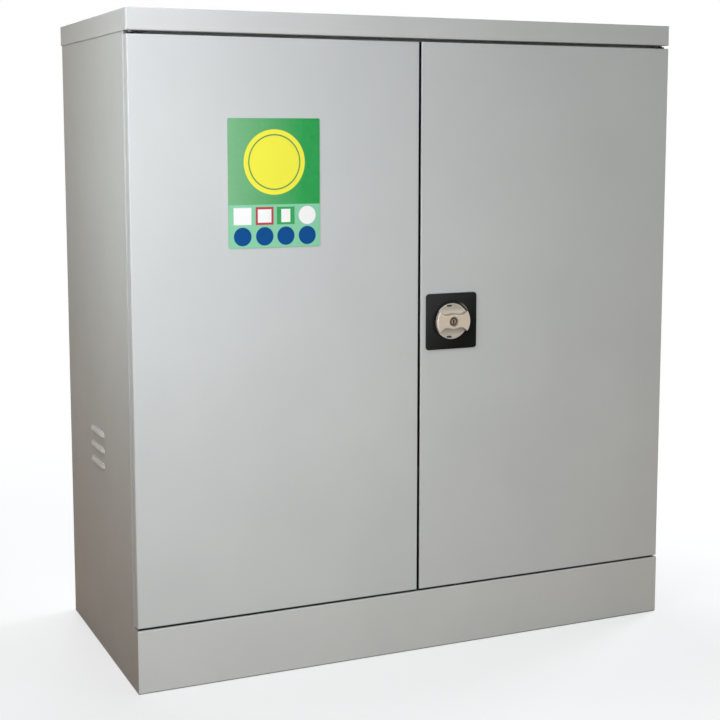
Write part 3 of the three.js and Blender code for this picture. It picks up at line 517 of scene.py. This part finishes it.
# The knob's piece carries three attributes from zero to one: the cast hollows with painted light
# and shade laid over them, the rubbed rim with a painted highlight on it, and the dark marks with
# painted shade at the foot of the wall and in the bore
knobMetal = {
    "face": (0.57, 0.475, 0.375),
    "faceShades": (0.93, 1.06),
    "clouds": (240, 4),
    "plainFinish": (0.38, 0.35),
    "roughness": (0.36, 0.55),
    "bumps": [((900, 3), 0.0001, 0.35), ((2200, 2), 0.00003, 0.4)],
    "castAndShade": (0.35, 0.315, 0.27),
    "rubbedAndLit": (0.74, 0.66, 0.57),
    "marksAndShade": (0.012, 0.010, 0.016),
}


def knobMaterial():
    plain = (knobMetal["face"], *knobMetal["plainFinish"])
    material, tree, shader = newMaterial("satinZincCasting", *plain)
    dark, light = (np.multiply(knobMetal["face"], shade) for shade in knobMetal["faceShades"])
    metal = tinted(tree, noise(tree, *knobMetal["clouds"]), dark, light)
    amounts = {}
    for wear in ("castAndShade", "rubbedAndLit", "marksAndShade"):
        carried = tree.nodes.new("ShaderNodeAttribute")
        carried.attribute_name = wear
        amounts[wear] = carried.outputs["Fac"]
        metal = mixedOver(tree, metal, amounts[wear], knobMetal[wear])
    link(tree, metal, shader.inputs["Base Color"])
    rough = spread(tree, amounts["castAndShade"], *knobMetal["roughness"], 0, 1)
    link(tree, rough, shader.inputs["Roughness"])
    bumped(tree, shader, knobMetal["bumps"])
    return material


# Lock cylinder, in millimetres. The ring's edge and bevel are pairs of (wider, deeper), the disc's
# wall pairs of (times as wide, deeper), and the key slot is half width, half height and depth
lockCylinder = {
    "frontY": -215.1,
    "backY": -212.0,
    "ringOuter": 7.1,
    "ringInner": 5.6,
    "ringEdge": [(0, 0.3), (-0.1, 0.08), (-0.3, 0)],
    "ringBevel": [(0.9, 0), (0.7, 0.08), (0, 1.1)],
    "ringSteps": 64,
    "discRadius": 4.4,
    "discRim": 0.15,
    "discWall": [(1, 0), (1.02, 0.1), (1.025, 0.3)],
    "discSetback": 0.9,
    "discColumns": 10,
    "discRows": 6,
    "keySlot": (1.0, 3.0, 1.9),
    "slotWall": 0.06,
    "nearSlot": 0.3,
    "slotEnd": 0.01,  # this and the next are shares of the disc's height
    "nearSlotEnd": 0.04,
    "sharpAngle": 40.0,
}
agedBrass = {
    "plain": ((0.24, 0.19, 0.14), 0.34, 0.8),
    "dark": (0.16, 0.12, 0.085),
    "light": (0.32, 0.25, 0.19),
    "clouds": (500, 4),
    "roughness": (0.28, 0.46),
    "bumps": [((2500, 2), 0.00003, 0.4)],
    "deepShade": (0.012, 0.009, 0.008),
    "shadeDeeper": (0.0001, 0.0004),
}


def brassMaterial():
    material, tree, shader = newMaterial("agedBrass", *agedBrass["plain"])
    clouds = noise(tree, *agedBrass["clouds"])
    # Painted shade: whatever is deeper than the key disc's face is painted dark, in the key slot
    # and round the disc's edge
    face = (lockCylinder["frontY"] + lockCylinder["discSetback"]) * mm
    start, end = (face + deeper for deeper in agedBrass["shadeDeeper"])
    deep = spread(tree, objectAxes(tree)["Y"], 0, 1, start, end)
    brass = tinted(tree, clouds, agedBrass["dark"], agedBrass["light"])
    link(tree, mixedOver(tree, brass, deep, agedBrass["deepShade"]), shader.inputs["Base Color"])
    roughened(tree, shader, clouds, agedBrass)
    bumped(tree, shader, agedBrass["bumps"])
    return material


# Blank sign card, in millimetres from its left and top edges
signCard = {
    "left": -312.0,
    "top": 846.0,
    "plainRoughness": 0.3,
    "specular": 0.1,
    "fieldShades": ((0.94, 0.96, 0.94), (1.1, 1.03, 1.1)),
    "clouds": (120, 3),
    "roughness": (0.26, 0.36),
    "grain": (90, 3),
    "bumps": [((9, 2), 0.0003, 0.3), ((700, 2), 0.00001, 0.2)],
    "sheenShare": (0.30, 0.0),
    "sheenUpTo": 118.0,
    "edgeBlur": 0.25,
    "middle": 72,
    "columns": (21.5, 55.9, 89.3, 123.5),
    "tileRow": 143,
    "discRow": 173,
}
signColours = {
    "field": (0.030, 0.345, 0.082),
    "paintedSheen": (0.60, 0.75, 0.60),
    "paleGreen": (0.25, 0.62, 0.39),
    "yellow": (0.88, 0.84, 0.07),
    "darkGreen": (0.10, 0.30, 0.10),
    "greyLine": (0.62, 0.68, 0.64),
    "dimGreyLine": (0.55, 0.60, 0.57),
    "red": (0.52, 0.06, 0.08),
    "green": (0.045, 0.376, 0.11),
    "blue": (0.004, 0.072, 0.26),
    "white": (0.93, 0.93, 0.92),
    "whiteInRed": (0.93, 0.92, 0.92),
    "whiteInGreen": (0.92, 0.93, 0.92),
}


def signShapes():
    # Each is (across, down, size, colour) and lies over those before it. A disc's size is its
    # radius, and that of a tile is half its width and height
    middle, tiles = signCard["middle"], signCard["tileRow"]
    first, second, third, fourth = signCard["columns"]
    return [
        (middle, 158.1, (72, 31.9), "paleGreen"),
        (middle, 64, 48, "yellow"),
        (middle, 64, 41, "darkGreen"),
        (middle, 64, 39, "yellow"),
        (first, tiles, (14, 12.8), "greyLine"),
        (first, tiles, (13.6, 12.4), "white"),
        (second, tiles, (14, 13.2), "red"),
        (second, tiles, (10.6, 9.8), "whiteInRed"),
        (third, tiles, (14, 13.0), "green"),
        (third, tiles, (7.2, 9.8), "whiteInGreen"),
        (fourth, tiles, 14, "dimGreyLine"),
        (fourth, tiles, 13.4, "white"),
        *[(column, signCard["discRow"], 13.7, "blue") for column in signCard["columns"]],
    ]


def shapeMask(tree, fromX, fromY, size):
    # One inside the shape, zero outside, with the print's slightly soft edge
    if isinstance(size, tuple):
        over = [
            calculated(tree, "SUBTRACT", calculated(tree, "ABSOLUTE", away), half)
            for away, half in zip((fromX, fromY), size)
        ]
        outside = calculated(tree, "MAXIMUM", *over)
    else:
        outside = calculated(tree, "SUBTRACT", rootOfSquares(tree, fromX, fromY), size)
    blur = signCard["edgeBlur"]
    return spread(tree, outside, 1, 0, -blur, blur)


def signMaterial():
    field = signColours["field"]
    material, tree, shader = newMaterial("printedSign", field, signCard["plainRoughness"])
    shader.inputs["Specular IOR Level"].default_value = signCard["specular"]
    axes = objectAxes(tree)
    across = calculated(tree, "MULTIPLY_ADD", axes["X"], 1 / mm, -signCard["left"])
    down = calculated(tree, "MULTIPLY_ADD", axes["Z"], -1 / mm, signCard["top"])
    clouds = spread(tree, noise(tree, *signCard["clouds"]), 0, 1)
    dark, light = (np.multiply(field, shade) for shade in signCard["fieldShades"])
    colour = tinted(tree, clouds, dark, light)
    # Painted sheen: the field is lighter from the left edge inwards, where it reflects the light
    sheenAmount = spread(tree, across, *signCard["sheenShare"], 0.0, signCard["sheenUpTo"])
    colour = mixedOver(tree, colour, sheenAmount, signColours["paintedSheen"])
    for x, y, size, name in signShapes():
        fromX = calculated(tree, "SUBTRACT", across, x)
        fromY = calculated(tree, "SUBTRACT", down, y)
        mask = shapeMask(tree, fromX, fromY, size)
        colour = mixedOver(tree, colour, mask, signColours[name])
    link(tree, colour, shader.inputs["Base Color"])
    roughened(tree, shader, noise(tree, *signCard["grain"]), signCard)
    bumped(tree, shader, signCard["bumps"])
    return material


painted = {place: paintMaterial(place) for place in coats}
repainted = {piece: painted[place] for place, coat in coats.items() for piece in coat["pieces"]}
finishes = {
    "paint": painted["rest"],
    "zinc_plate": zincMaterial(),
    "steel": steelMaterial(),
    "black_plastic": blackPlasticMaterial(),
    "rubber": rubberMaterial(),
    "knob_metal": knobMaterial(),
    "brass": brassMaterial(),
    "sign_face": signMaterial(),
}
print("finishes mixed:", len({*painted.values(), *finishes.values()}))


# Pieces from the frame: welded, shaded smooth over their bends, sharp at their cuts
smoothing = {"weld": 0.00001, "sharpAngle": 42.0}


def smoothedGroup():
    group = bpy.data.node_groups.new("smoothBends", "GeometryNodeTree")
    group.interface.new_socket("Geometry", in_out="INPUT", socket_type="NodeSocketGeometry")
    group.interface.new_socket("Geometry", in_out="OUTPUT", socket_type="NodeSocketGeometry")
    start = group.nodes.new("NodeGroupInput")
    end = group.nodes.new("NodeGroupOutput")
    last = start.outputs[0]
    for attribute in ("custom_normal", "sharp_edge", "sharp_face"):
        removal = group.nodes.new("GeometryNodeRemoveAttribute")
        removal.inputs["Name"].default_value = attribute
        link(group, last, removal.inputs["Geometry"])
        last = removal.outputs["Geometry"]
    merge = group.nodes.new("GeometryNodeMergeByDistance")
    merge.inputs["Distance"].default_value = smoothing["weld"]
    link(group, last, merge.inputs["Geometry"])
    smooth = group.nodes.new("GeometryNodeSetShadeSmooth")
    smooth.domain = "FACE"
    link(group, merge.outputs["Geometry"], smooth.inputs["Geometry"])
    angle = group.nodes.new("GeometryNodeInputMeshEdgeAngle")
    steep = group.nodes.new("FunctionNodeCompare")
    steep.data_type = "FLOAT"
    steep.operation = "GREATER_THAN"
    steep.inputs["B"].default_value = math.radians(smoothing["sharpAngle"])
    link(group, angle.outputs["Unsigned Angle"], steep.inputs["A"])
    sharp = group.nodes.new("GeometryNodeSetShadeSmooth")
    sharp.domain = "EDGE"
    sharp.inputs["Shade Smooth"].default_value = False
    link(group, steep.outputs["Result"], sharp.inputs["Selection"])
    link(group, smooth.outputs["Geometry"], sharp.inputs["Geometry"])
    link(group, sharp.outputs["Geometry"], end.inputs[0])
    return group


def finishNodes():
    group = smoothedGroup()
    for name, piece in nodes.items():
        slotName = piece.data.materials[0].name
        piece.data.materials[0] = repainted.get(name, finishes[slotName])
        modifier = piece.modifiers.new("smoothBends", "NODES")
        modifier.node_group = group
        weighted = piece.modifiers.new("flatFaces", "WEIGHTED_NORMAL")
        weighted.mode = "FACE_AREA"
        weighted.keep_sharp = True


finishNodes()
print("frame pieces finished")


# Pieces drawn here in place of the frame's plainer ones: grids of points in millimetres, row by row
meshing = {"merge": 0.000001, "degenerate": 0.0000005}


def gridFaces(rows, columns, closed=False):
    # Four neighbours to a face, and the last column joined to the first one if closed
    numbers = np.arange(rows * columns).reshape(rows, columns)
    if closed:
        numbers = np.column_stack([numbers, numbers[:, :1]])
    corners = [numbers[:-1, :-1], numbers[:-1, 1:], numbers[1:, 1:], numbers[1:, :-1]]
    return np.stack(corners, axis=-1).reshape(-1, 4)


def newPiece(name, parts, slotName, body, replaced, sharpAngle):
    # Parts are pairs of points and faces, which share their edges once close points are merged
    starts = np.cumsum([0] + [len(part[0]) for part in parts])
    points = np.concatenate([part[0] for part in parts]) * mm
    faces = np.concatenate([part[1] + start for part, start in zip(parts, starts)])
    mesh = bpy.data.meshes.new(name)
    mesh.from_pydata(points.tolist(), [], faces.tolist())
    worked = bmesh.new()
    worked.from_mesh(mesh)
    bmesh.ops.remove_doubles(worked, verts=worked.verts, dist=meshing["merge"])
    bmesh.ops.dissolve_degenerate(worked, edges=worked.edges, dist=meshing["degenerate"])
    bmesh.ops.recalc_face_normals(worked, faces=worked.faces)
    worked.to_mesh(mesh)
    worked.free()
    mesh.shade_smooth()
    mesh.set_sharp_from_angle(angle=math.radians(sharpAngle))
    mesh.materials.append(finishes[slotName])
    piece = bpy.data.objects.new(name, mesh)
    bpy.context.scene.collection.objects.link(piece)
    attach(piece, body)
    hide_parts(replaced)
    return piece


def aboutLock(x, y, z):
    # Points of the cabinet: x and z count from the lock's axis, and y is the cabinet's own
    whole = np.broadcast_arrays(x + lockAxis[0], y, z + lockAxis[1])
    return np.stack(whole, axis=-1).reshape(-1, 3)


def easedStep(value, start, end):
    # Zero up to start, one from end on, and the curve 3uu - 2uuu of the share u between them
    share = np.clip((value - start) / (end - start), 0, 1)
    return share * share * (3 - 2 * share)


def gathered(start, end, count):
    # Values from start to end that lie closer together towards the end: a quarter of a sine wave
    return start + (end - start) * np.sin(np.linspace(0, math.pi / 2, count))


def circleAt(across, radius):
    # The root of radius squared less across squared, and zero outside the circle
    return np.sqrt(np.maximum(radius**2 - across**2, 0))


def looped(row, sign=1):
    # The edge of one half and, backwards without its two ends, that of the mirrored half
    return np.concatenate([row, sign * row[-2:0:-1]])


# Knob, in millimetres from its axis and forwards from its back
knobCasting = {
    "backY": -206.1,
    "radius": 29.0,
    "height": 9.4,
    "barHalf": {"middle": 11.2, "waist": 9.4, "end": 15.5},
    "waistAt": 12.47,
    "endAt": 24.51,
    "wallRun": 1.5,
    "bowl": {"foot": (9.4, 4.8), "pull": (16.5, -2.2), "rim": (31.5, 4.8)},
    "rimRound": {"bar": 1.0, "scoop": 2.2, "fromAngle": 35, "toAngle": 60, "power": 6},
    "rimKeeps": 0.5,  # the least height left below the rim's round
    "bore": {"radius": 7.8, "depth": 3.7},
    "boreRows": [(1, 0), (0.985, 0.08), (0.98, 1), (0.5, 1), (0, 1)],
    "boss": {"radius": 9.0, "length": 2.6},
    # Painted shade: the lower part of the knob's side wall is painted near black up to these
    # heights
    "shadedBand": (3.0, 3.7),  # its black ends between these heights
    "foot": {"radius": 28.7, "under": 20.0, "height": 0.3},
    "mark": {"from": -7.6, "to": -1.6, "out": 24.6, "radius": 1.6, "depth": 0.7},
    "markEase": (0.5, 0.2),
    "sharpAngle": 50.0,
}
# Points along the bar and away from it, and how far the rows stay apart where they run together
knobGrid = {
    "columns": {"bore": 14, "bar": 38, "end": 12},
    "rows": {"top": 9, "wall": 15, "bowl": 41, "rim": 8},
    "tries": 4001,
    "curvePoints": 200,
    "band": 0.3,
    "wallBand": 0.7,
    "step": 0.03,
}
# Where the attributes lie: out from the axis, down from the face, up from the back
knobWear = {
    "rimOut": (27.4, 28.4),
    "litRimUp": (0.0, 1.0),
    "castDown": (0.8, 2.6),
    "castClear": 0.5,
    "castShare": 0.78,
    "hollowLightShare": 0.36,
    "hollowLightOut": (11, 22),
    "marksUp": 0.8,
    "shadedBandOut": (28.0, 28.5),
    "boreDown": (0.2, 0.4),
    "boreWithin": 0.99,
}


def barHalfAt(across):
    # A cubic in q, the square of across over the radius. Its terms are solved from three wishes:
    # the given half width at the waist, a level curve there, and the given half width at the end
    half, radius = knobCasting["barHalf"], knobCasting["radius"]
    waist, end = (knobCasting["waistAt"] / radius) ** 2, (knobCasting["endAt"] / radius) ** 2
    terms = np.array([
        [waist, waist**2, waist**3],
        [1, 2 * waist, 3 * waist**2],
        [end, end**2, end**3],
    ])
    wanted = np.array([half["waist"] - half["middle"], 0, half["end"] - half["middle"]])
    first, second, third = np.linalg.solve(terms, wanted)
    q = (across / radius) ** 2
    return half["middle"] + q * (first + q * (second + q * third))


def barEdgeAt(across, barEnd):
    # The bar's half width up to its end, and from there on a line well outside the knob
    within = barHalfAt(np.clip(across, -barEnd, barEnd))
    return np.where(np.abs(across) > barEnd, 2 * knobCasting["radius"], within)


def bowlFloorAt(out):
    # A quadratic Bezier from the bar's foot to beyond the rim, read at the distance from the middle
    foot, pull, rim = (np.array(knobCasting["bowl"][point]) for point in ("foot", "pull", "rim"))
    t = np.linspace(0, 1, knobGrid["curvePoints"])[:, None]
    path = (1 - t) ** 2 * foot + 2 * t * (1 - t) * pull + t**2 * rim
    return np.interp(out, path[:, 0], path[:, 1])


def markAt(across, out):
    # One inside the two cast marks, zero outside: an eased step of the distance to a short line
    mark, (inwards, outwards) = knobCasting["mark"], knobCasting["markEase"]
    away = np.hypot(across - np.clip(across, mark["from"], mark["to"]), out - mark["out"])
    return 1 - easedStep(away, mark["radius"] - inwards, mark["radius"] + outwards)


def knobHeightAt(across, up, barEnd):
    # The bar's flat top, an eased wall down to the bowl's floor, and the marks sunk into that floor
    out, top, edge = np.abs(up), knobCasting["height"], barEdgeAt(across, barEnd)
    floor = bowlFloorAt(out) - knobCasting["mark"]["depth"] * markAt(across, out)
    return top + (floor - top) * easedStep(out, edge, edge + knobCasting["wallRun"])


def knobColumns(inner, barEnd):
    # Places along the bar, the same to both sides: over the bore, over the bar and past its end
    count, bore = knobGrid["columns"], knobCasting["bore"]["radius"]
    half = np.concatenate([
        gathered(0, bore, count["bore"]),
        np.linspace(bore, barEnd, count["bar"])[1:],
        gathered(barEnd, inner, count["end"])[1:],
    ])
    return np.concatenate([-half[:0:-1], half])


def knobHalf():
    # The upper half's rows run in thirds: from the bore's edge over the bar's top, down its wall,
    # and across the bowl to a circle. Above the bar that circle is drawn in by the extra round of
    # the rim times a power of the distance over its radius
    rim, rows = knobCasting["rimRound"], knobGrid["rows"]
    inner = knobCasting["radius"] - rim["bar"]
    tries = np.linspace(0, inner, knobGrid["tries"])
    barEnd = tries[np.argmax(barHalfAt(tries) >= circleAt(tries, inner))]
    x = knobColumns(inner, barEnd)
    top, boreEdge = circleAt(x, inner), circleAt(x, knobCasting["bore"]["radius"])
    band = np.minimum(knobGrid["band"], knobGrid["band"] * top)
    barTop = np.minimum(barEdgeAt(x, barEnd), top - band)
    foot = np.minimum(barTop + knobCasting["wallRun"], top - band * knobGrid["wallBand"])
    up = np.concatenate([
        boreEdge + (barTop - boreEdge) * np.linspace(0, 1, rows["top"])[:, None],
        barTop + (foot - barTop) * np.linspace(0, 1, rows["wall"])[1:, None],
        foot + (top - foot) * np.linspace(0, 1, rows["bowl"])[1:, None],
    ])
    across = np.broadcast_to(x, up.shape)
    distance, angle = np.hypot(across, up), np.degrees(np.arctan2(up, np.abs(across)))
    extra = (rim["scoop"] - rim["bar"]) * easedStep(angle, rim["fromAngle"], rim["toAngle"])
    drawnIn = 1 - extra / inner * (distance / inner) ** rim["power"]
    across, up = across * drawnIn, up * drawnIn
    return x, across, up, knobHeightAt(across, up, barEnd)


def knobPoints(across, up, height):
    # Height counts forwards from the knob's back
    return aboutLock(across, knobCasting["backY"] - height, up)


def knobRim(across, up, height):
    # Both halves' edges make one loop. It goes out by the sine and down by one less the cosine of
    # a quarter turn, then down the side, in under the foot and round the boss to the axis
    full, foot, boss = (knobCasting[size] for size in ("radius", "foot", "boss"))
    loopAcross, loopUp, loopHeight = looped(across[-1]), looped(up[-1], -1), looped(height[-1])
    reach = np.hypot(loopAcross, loopUp)
    out = full - reach
    down = np.minimum(out, loopHeight - knobCasting["rimKeeps"])
    turn = np.linspace(0, math.pi / 2, knobGrid["rows"]["rim"])[:, None]
    radii, heights = [reach + out * np.sin(turn)], [loopHeight - down * (1 - np.cos(turn))]
    for lift in knobCasting["shadedBand"][::-1]:
        radii.append(np.full((1, len(reach)), full))
        heights.append(np.minimum(heights[-1][-1:] - knobGrid["step"], lift))
    rings = [(full, foot["height"]), (foot["radius"], 0), (foot["under"], 0)]
    rings += [(boss["radius"], 0), (boss["radius"], -boss["length"]), (0, -boss["length"])]
    for radius, level in rings:
        radii.append(np.full((1, len(reach)), radius))
        heights.append(np.full((1, len(reach)), level))
    radii, heights = np.concatenate(radii), np.concatenate(heights)
    points = knobPoints(radii * loopAcross / reach, radii * loopUp / reach, heights)
    return points, gridFaces(*radii.shape, closed=True)


def knobBore(x):
    # Both halves' inner edges make one loop: each row is that loop times the row's first number,
    # sunk by its second number times the depth
    bore = knobCasting["bore"]
    edge = x[np.abs(x) <= bore["radius"] + meshing["merge"] / mm]
    across, up = looped(edge), looped(circleAt(edge, bore["radius"]), -1)
    shrink, sink = (np.array(values)[:, None] for values in zip(*knobCasting["boreRows"]))
    points = knobPoints(across * shrink, up * shrink, knobCasting["height"] - sink * bore["depth"])
    return points, gridFaces(len(shrink), len(across), closed=True)


def wearKnob(piece):
    # Each attribute is a product of eased steps of a point's distance from axis, face and back
    wear, face, bore = knobWear, knobCasting["height"], knobCasting["bore"]["radius"]
    place = np.empty(len(piece.data.vertices) * 3)
    piece.data.vertices.foreach_get("co", place)
    origin = [lockAxis[0], knobCasting["backY"], lockAxis[1]]
    across, depth, up = (place.reshape(-1, 3) / mm - origin).T
    reach, height, out = np.hypot(across, up), -depth, np.abs(up)
    # The outer rim is lighter: rubbed wear, and a painted highlight where its rounded edge catches
    # the light
    outer = easedStep(reach, *wear["rimOut"])
    # Painted light and shade: the upper hollow is lighter beside the bar, which faces the light,
    # and the lower one darker beside the bar, which shades it
    hollowLight = wear["hollowLightShare"] * np.sign(up) * (1 - easedStep(out, *wear["hollowLightOut"]))
    hollow = easedStep(face - height, *wear["castDown"]) * (1 - outer)
    # The two marks, and painted shade: the side wall's lower part painted near black, and the bore
    # round the plug painted dark below the face
    marks = markAt(across, out) * (height > wear["marksUp"]) * (1 - outer)
    shadedBand = easedStep(reach, *wear["shadedBandOut"]) * (1 - easedStep(height, *knobCasting["shadedBand"]))
    bored = (reach < bore * wear["boreWithin"]) * easedStep(face - height, *wear["boreDown"])
    masks = {
        "marksAndShade": marks + shadedBand + bored * (height > 0),
        "castAndShade": hollow * (reach > bore + wear["castClear"]) * (wear["castShare"] - hollowLight),
        "rubbedAndLit": outer * easedStep(height, *wear["litRimUp"]),
    }
    for label, mask in masks.items():
        values = piece.data.attributes.new(label, "FLOAT", "POINT").data
        values.foreach_set("value", mask.astype(np.float32))


def addKnob():
    x, across, up, height = knobHalf()
    face, angle = gridFaces(*up.shape), knobCasting["sharpAngle"]
    parts = [(knobPoints(across, side * up, height), face) for side in (1, -1)]
    parts += [knobRim(across, up, height), knobBore(x)]
    wearKnob(newPiece("turning_knob", parts, "knob_metal", "knob", "handle_knob", angle))


addKnob()
print("turning knob modelled")


def plugRing():
    # A profile of (radius, y) carried round a full turn
    front, back = lockCylinder["frontY"], lockCylinder["backY"]
    outer, inner = lockCylinder["ringOuter"], lockCylinder["ringInner"]
    profile = [(outer, back)]
    profile += [(outer + wider, front + deeper) for wider, deeper in lockCylinder["ringEdge"]]
    profile += [(inner + wider, front + deeper) for wider, deeper in lockCylinder["ringBevel"]]
    profile += [(inner, back), (outer, back)]
    turn = np.linspace(0, 2 * math.pi, lockCylinder["ringSteps"], endpoint=False)
    radius, y = (np.array(values)[:, None] for values in zip(*profile))
    points = aboutLock(radius * np.cos(turn), y, radius * np.sin(turn))
    return points, gridFaces(len(profile), len(turn), closed=True)


def keyDisc():
    # Each row is a share t of the circle's height over every column, and deeper inside the slot
    front, back = lockCylinder["frontY"], lockCylinder["backY"]
    halfWidth, halfHeight, depth = lockCylinder["keySlot"]
    wall, end, near = (lockCylinder[size] for size in ("slotWall", "slotEnd", "nearSlot"))
    size = lockCylinder["discRadius"] - lockCylinder["discRim"]
    face, share = front + lockCylinder["discSetback"], halfHeight / size
    outside = gathered(halfWidth + near, size, lockCylinder["discColumns"])
    x = np.concatenate([[near, halfWidth, halfWidth + wall], outside])
    x = np.concatenate([-x[::-1], x])
    outside = gathered(share + lockCylinder["nearSlotEnd"], 1, lockCylinder["discRows"])
    t = np.concatenate([[near, share - end, share], outside])
    t = np.concatenate([-t[::-1], t])[:, None]
    z = t * circleAt(x, size)
    x = np.broadcast_to(x, z.shape)
    sunk = (np.abs(x) < halfWidth + wall / 2) & (np.abs(t) < share - end / 2)
    top = (aboutLock(x, face + depth * sunk, z), gridFaces(*z.shape))
    # Its edge rounds over, runs back and closes on the axis
    rows = [(wider, face + deeper) for wider, deeper in lockCylinder["discWall"]]
    rows += [(rows[-1][0], back), (0, back)]
    grow, y = (np.array(values)[:, None] for values in zip(*rows))
    edgeX, edgeZ = looped(x[-1]), looped(z[-1], -1)
    points = aboutLock(edgeX * grow, y, edgeZ * grow)
    return [top, (points, gridFaces(len(rows), len(edgeX), closed=True))]


def addLockPlug():
    parts, angle = [plugRing(), *keyDisc()], lockCylinder["sharpAngle"]
    newPiece("lock_cylinder", parts, "brass", "lock_plug", "lock_plug", angle)


addLockPlug()
print("lock cylinder modelled")


# Handle plate, in millimetres. Its eases are pairs of (wider, deeper)
handlePlate = {
    "frontY": -207.8,
    "backY": -204.8,
    "half": 44.25,
    "cornerRadius": 5.0,
    "cornerPoints": 11,
    "sidePoints": 26,
    "edgeRound": 0.9,
    "edgeRows": 7,
    "crown": 0.25,
    "crownRows": 9,
    "recessMouth": 33.5,
    "mouthEase": [(-0.35, 0.25), (-0.15, 0.08), (0.1, 0)],
    "recessFloor": 31.0,
    "floorEase": [(-0.3, 0), (0.08, -0.1)],
    "floorRings": (15, 21, 27),
    "recessDepth": 2.0,
    "hole": 9.3,
    "holeEase": 0.2,
    "sharpAngle": 40.0,
}


def roundedSquare(half, radius):
    # Four quarter circles and the straight runs between them, anticlockwise from the right side
    turn = np.linspace(0, math.pi / 2, handlePlate["cornerPoints"])
    arc = np.column_stack([np.cos(turn), np.sin(turn)]) * radius + (half - radius)
    run = np.linspace(arc[-1], [-arc[-1][0], arc[-1][1]], handlePlate["sidePoints"])[1:-1]
    quarter = np.concatenate([arc, run])
    turned = [quarter, quarter[:, ::-1] * [-1, 1], -quarter, quarter[:, ::-1] * [1, -1]]
    return np.concatenate(turned)


def recessRings():
    # Circles of (radius, y): up through the hole, over the recess floor and up its sloping wall
    plate = handlePlate
    front, hole, ease = plate["frontY"], plate["hole"], plate["holeEase"]
    floor = front + plate["recessDepth"]
    rings = [(hole, plate["backY"]), (hole, floor + ease), (hole + ease, floor)]
    rings += [(size, floor) for size in plate["floorRings"]]
    eases = ((plate["recessFloor"], floor, "floorEase"), (plate["recessMouth"], front, "mouthEase"))
    for radius, y, name in eases:
        rings += [(radius + wider, y + deeper) for wider, deeper in plate[name]]
    return rings


def addHandlePlate():
    # Rows are loops with the same count of points: the circles of the recess, then the last of
    # them times one less the share plus a rounded square times the share, then rounded squares
    # that go out by the sine and down by one less the cosine of a quarter turn
    plate = handlePlate
    half, radius, edge = plate["half"], plate["cornerRadius"], plate["edgeRound"]
    front, back, crown = plate["frontY"], plate["backY"], plate["crown"]
    outline = roundedSquare(half, radius)
    around = np.arctan2(outline[:, 1], outline[:, 0])
    circle = np.column_stack([np.cos(around), np.sin(around)])
    rows = [(circle * size, y) for size, y in recessRings()]
    mouth, inset = rows[-1][0], roundedSquare(half - edge, radius - edge)
    for share in np.linspace(0, 1, plate["crownRows"])[1:]:
        rows.append((mouth * (1 - share) + inset * share, front + crown * share**2))
    for turn in np.linspace(0, math.pi / 2, plate["edgeRows"])[1:]:
        out, down = edge * math.sin(turn), edge * (1 - math.cos(turn))
        rows.append((roundedSquare(half - edge + out, radius - edge + out), front + crown + down))
    rows += [(outline, back), (circle * plate["hole"], back)]
    flat, y = np.stack([row[0] for row in rows]), np.array([row[1] for row in rows])[:, None]
    points = aboutLock(flat[..., 0], y, flat[..., 1])
    parts = [(points, gridFaces(len(rows), len(outline), closed=True))]
    angle = plate["sharpAngle"]
    newPiece("knob_escutcheon", parts, "black_plastic", "right_door", "handle_plate", angle)


addHandlePlate()
print("handle plate modelled")
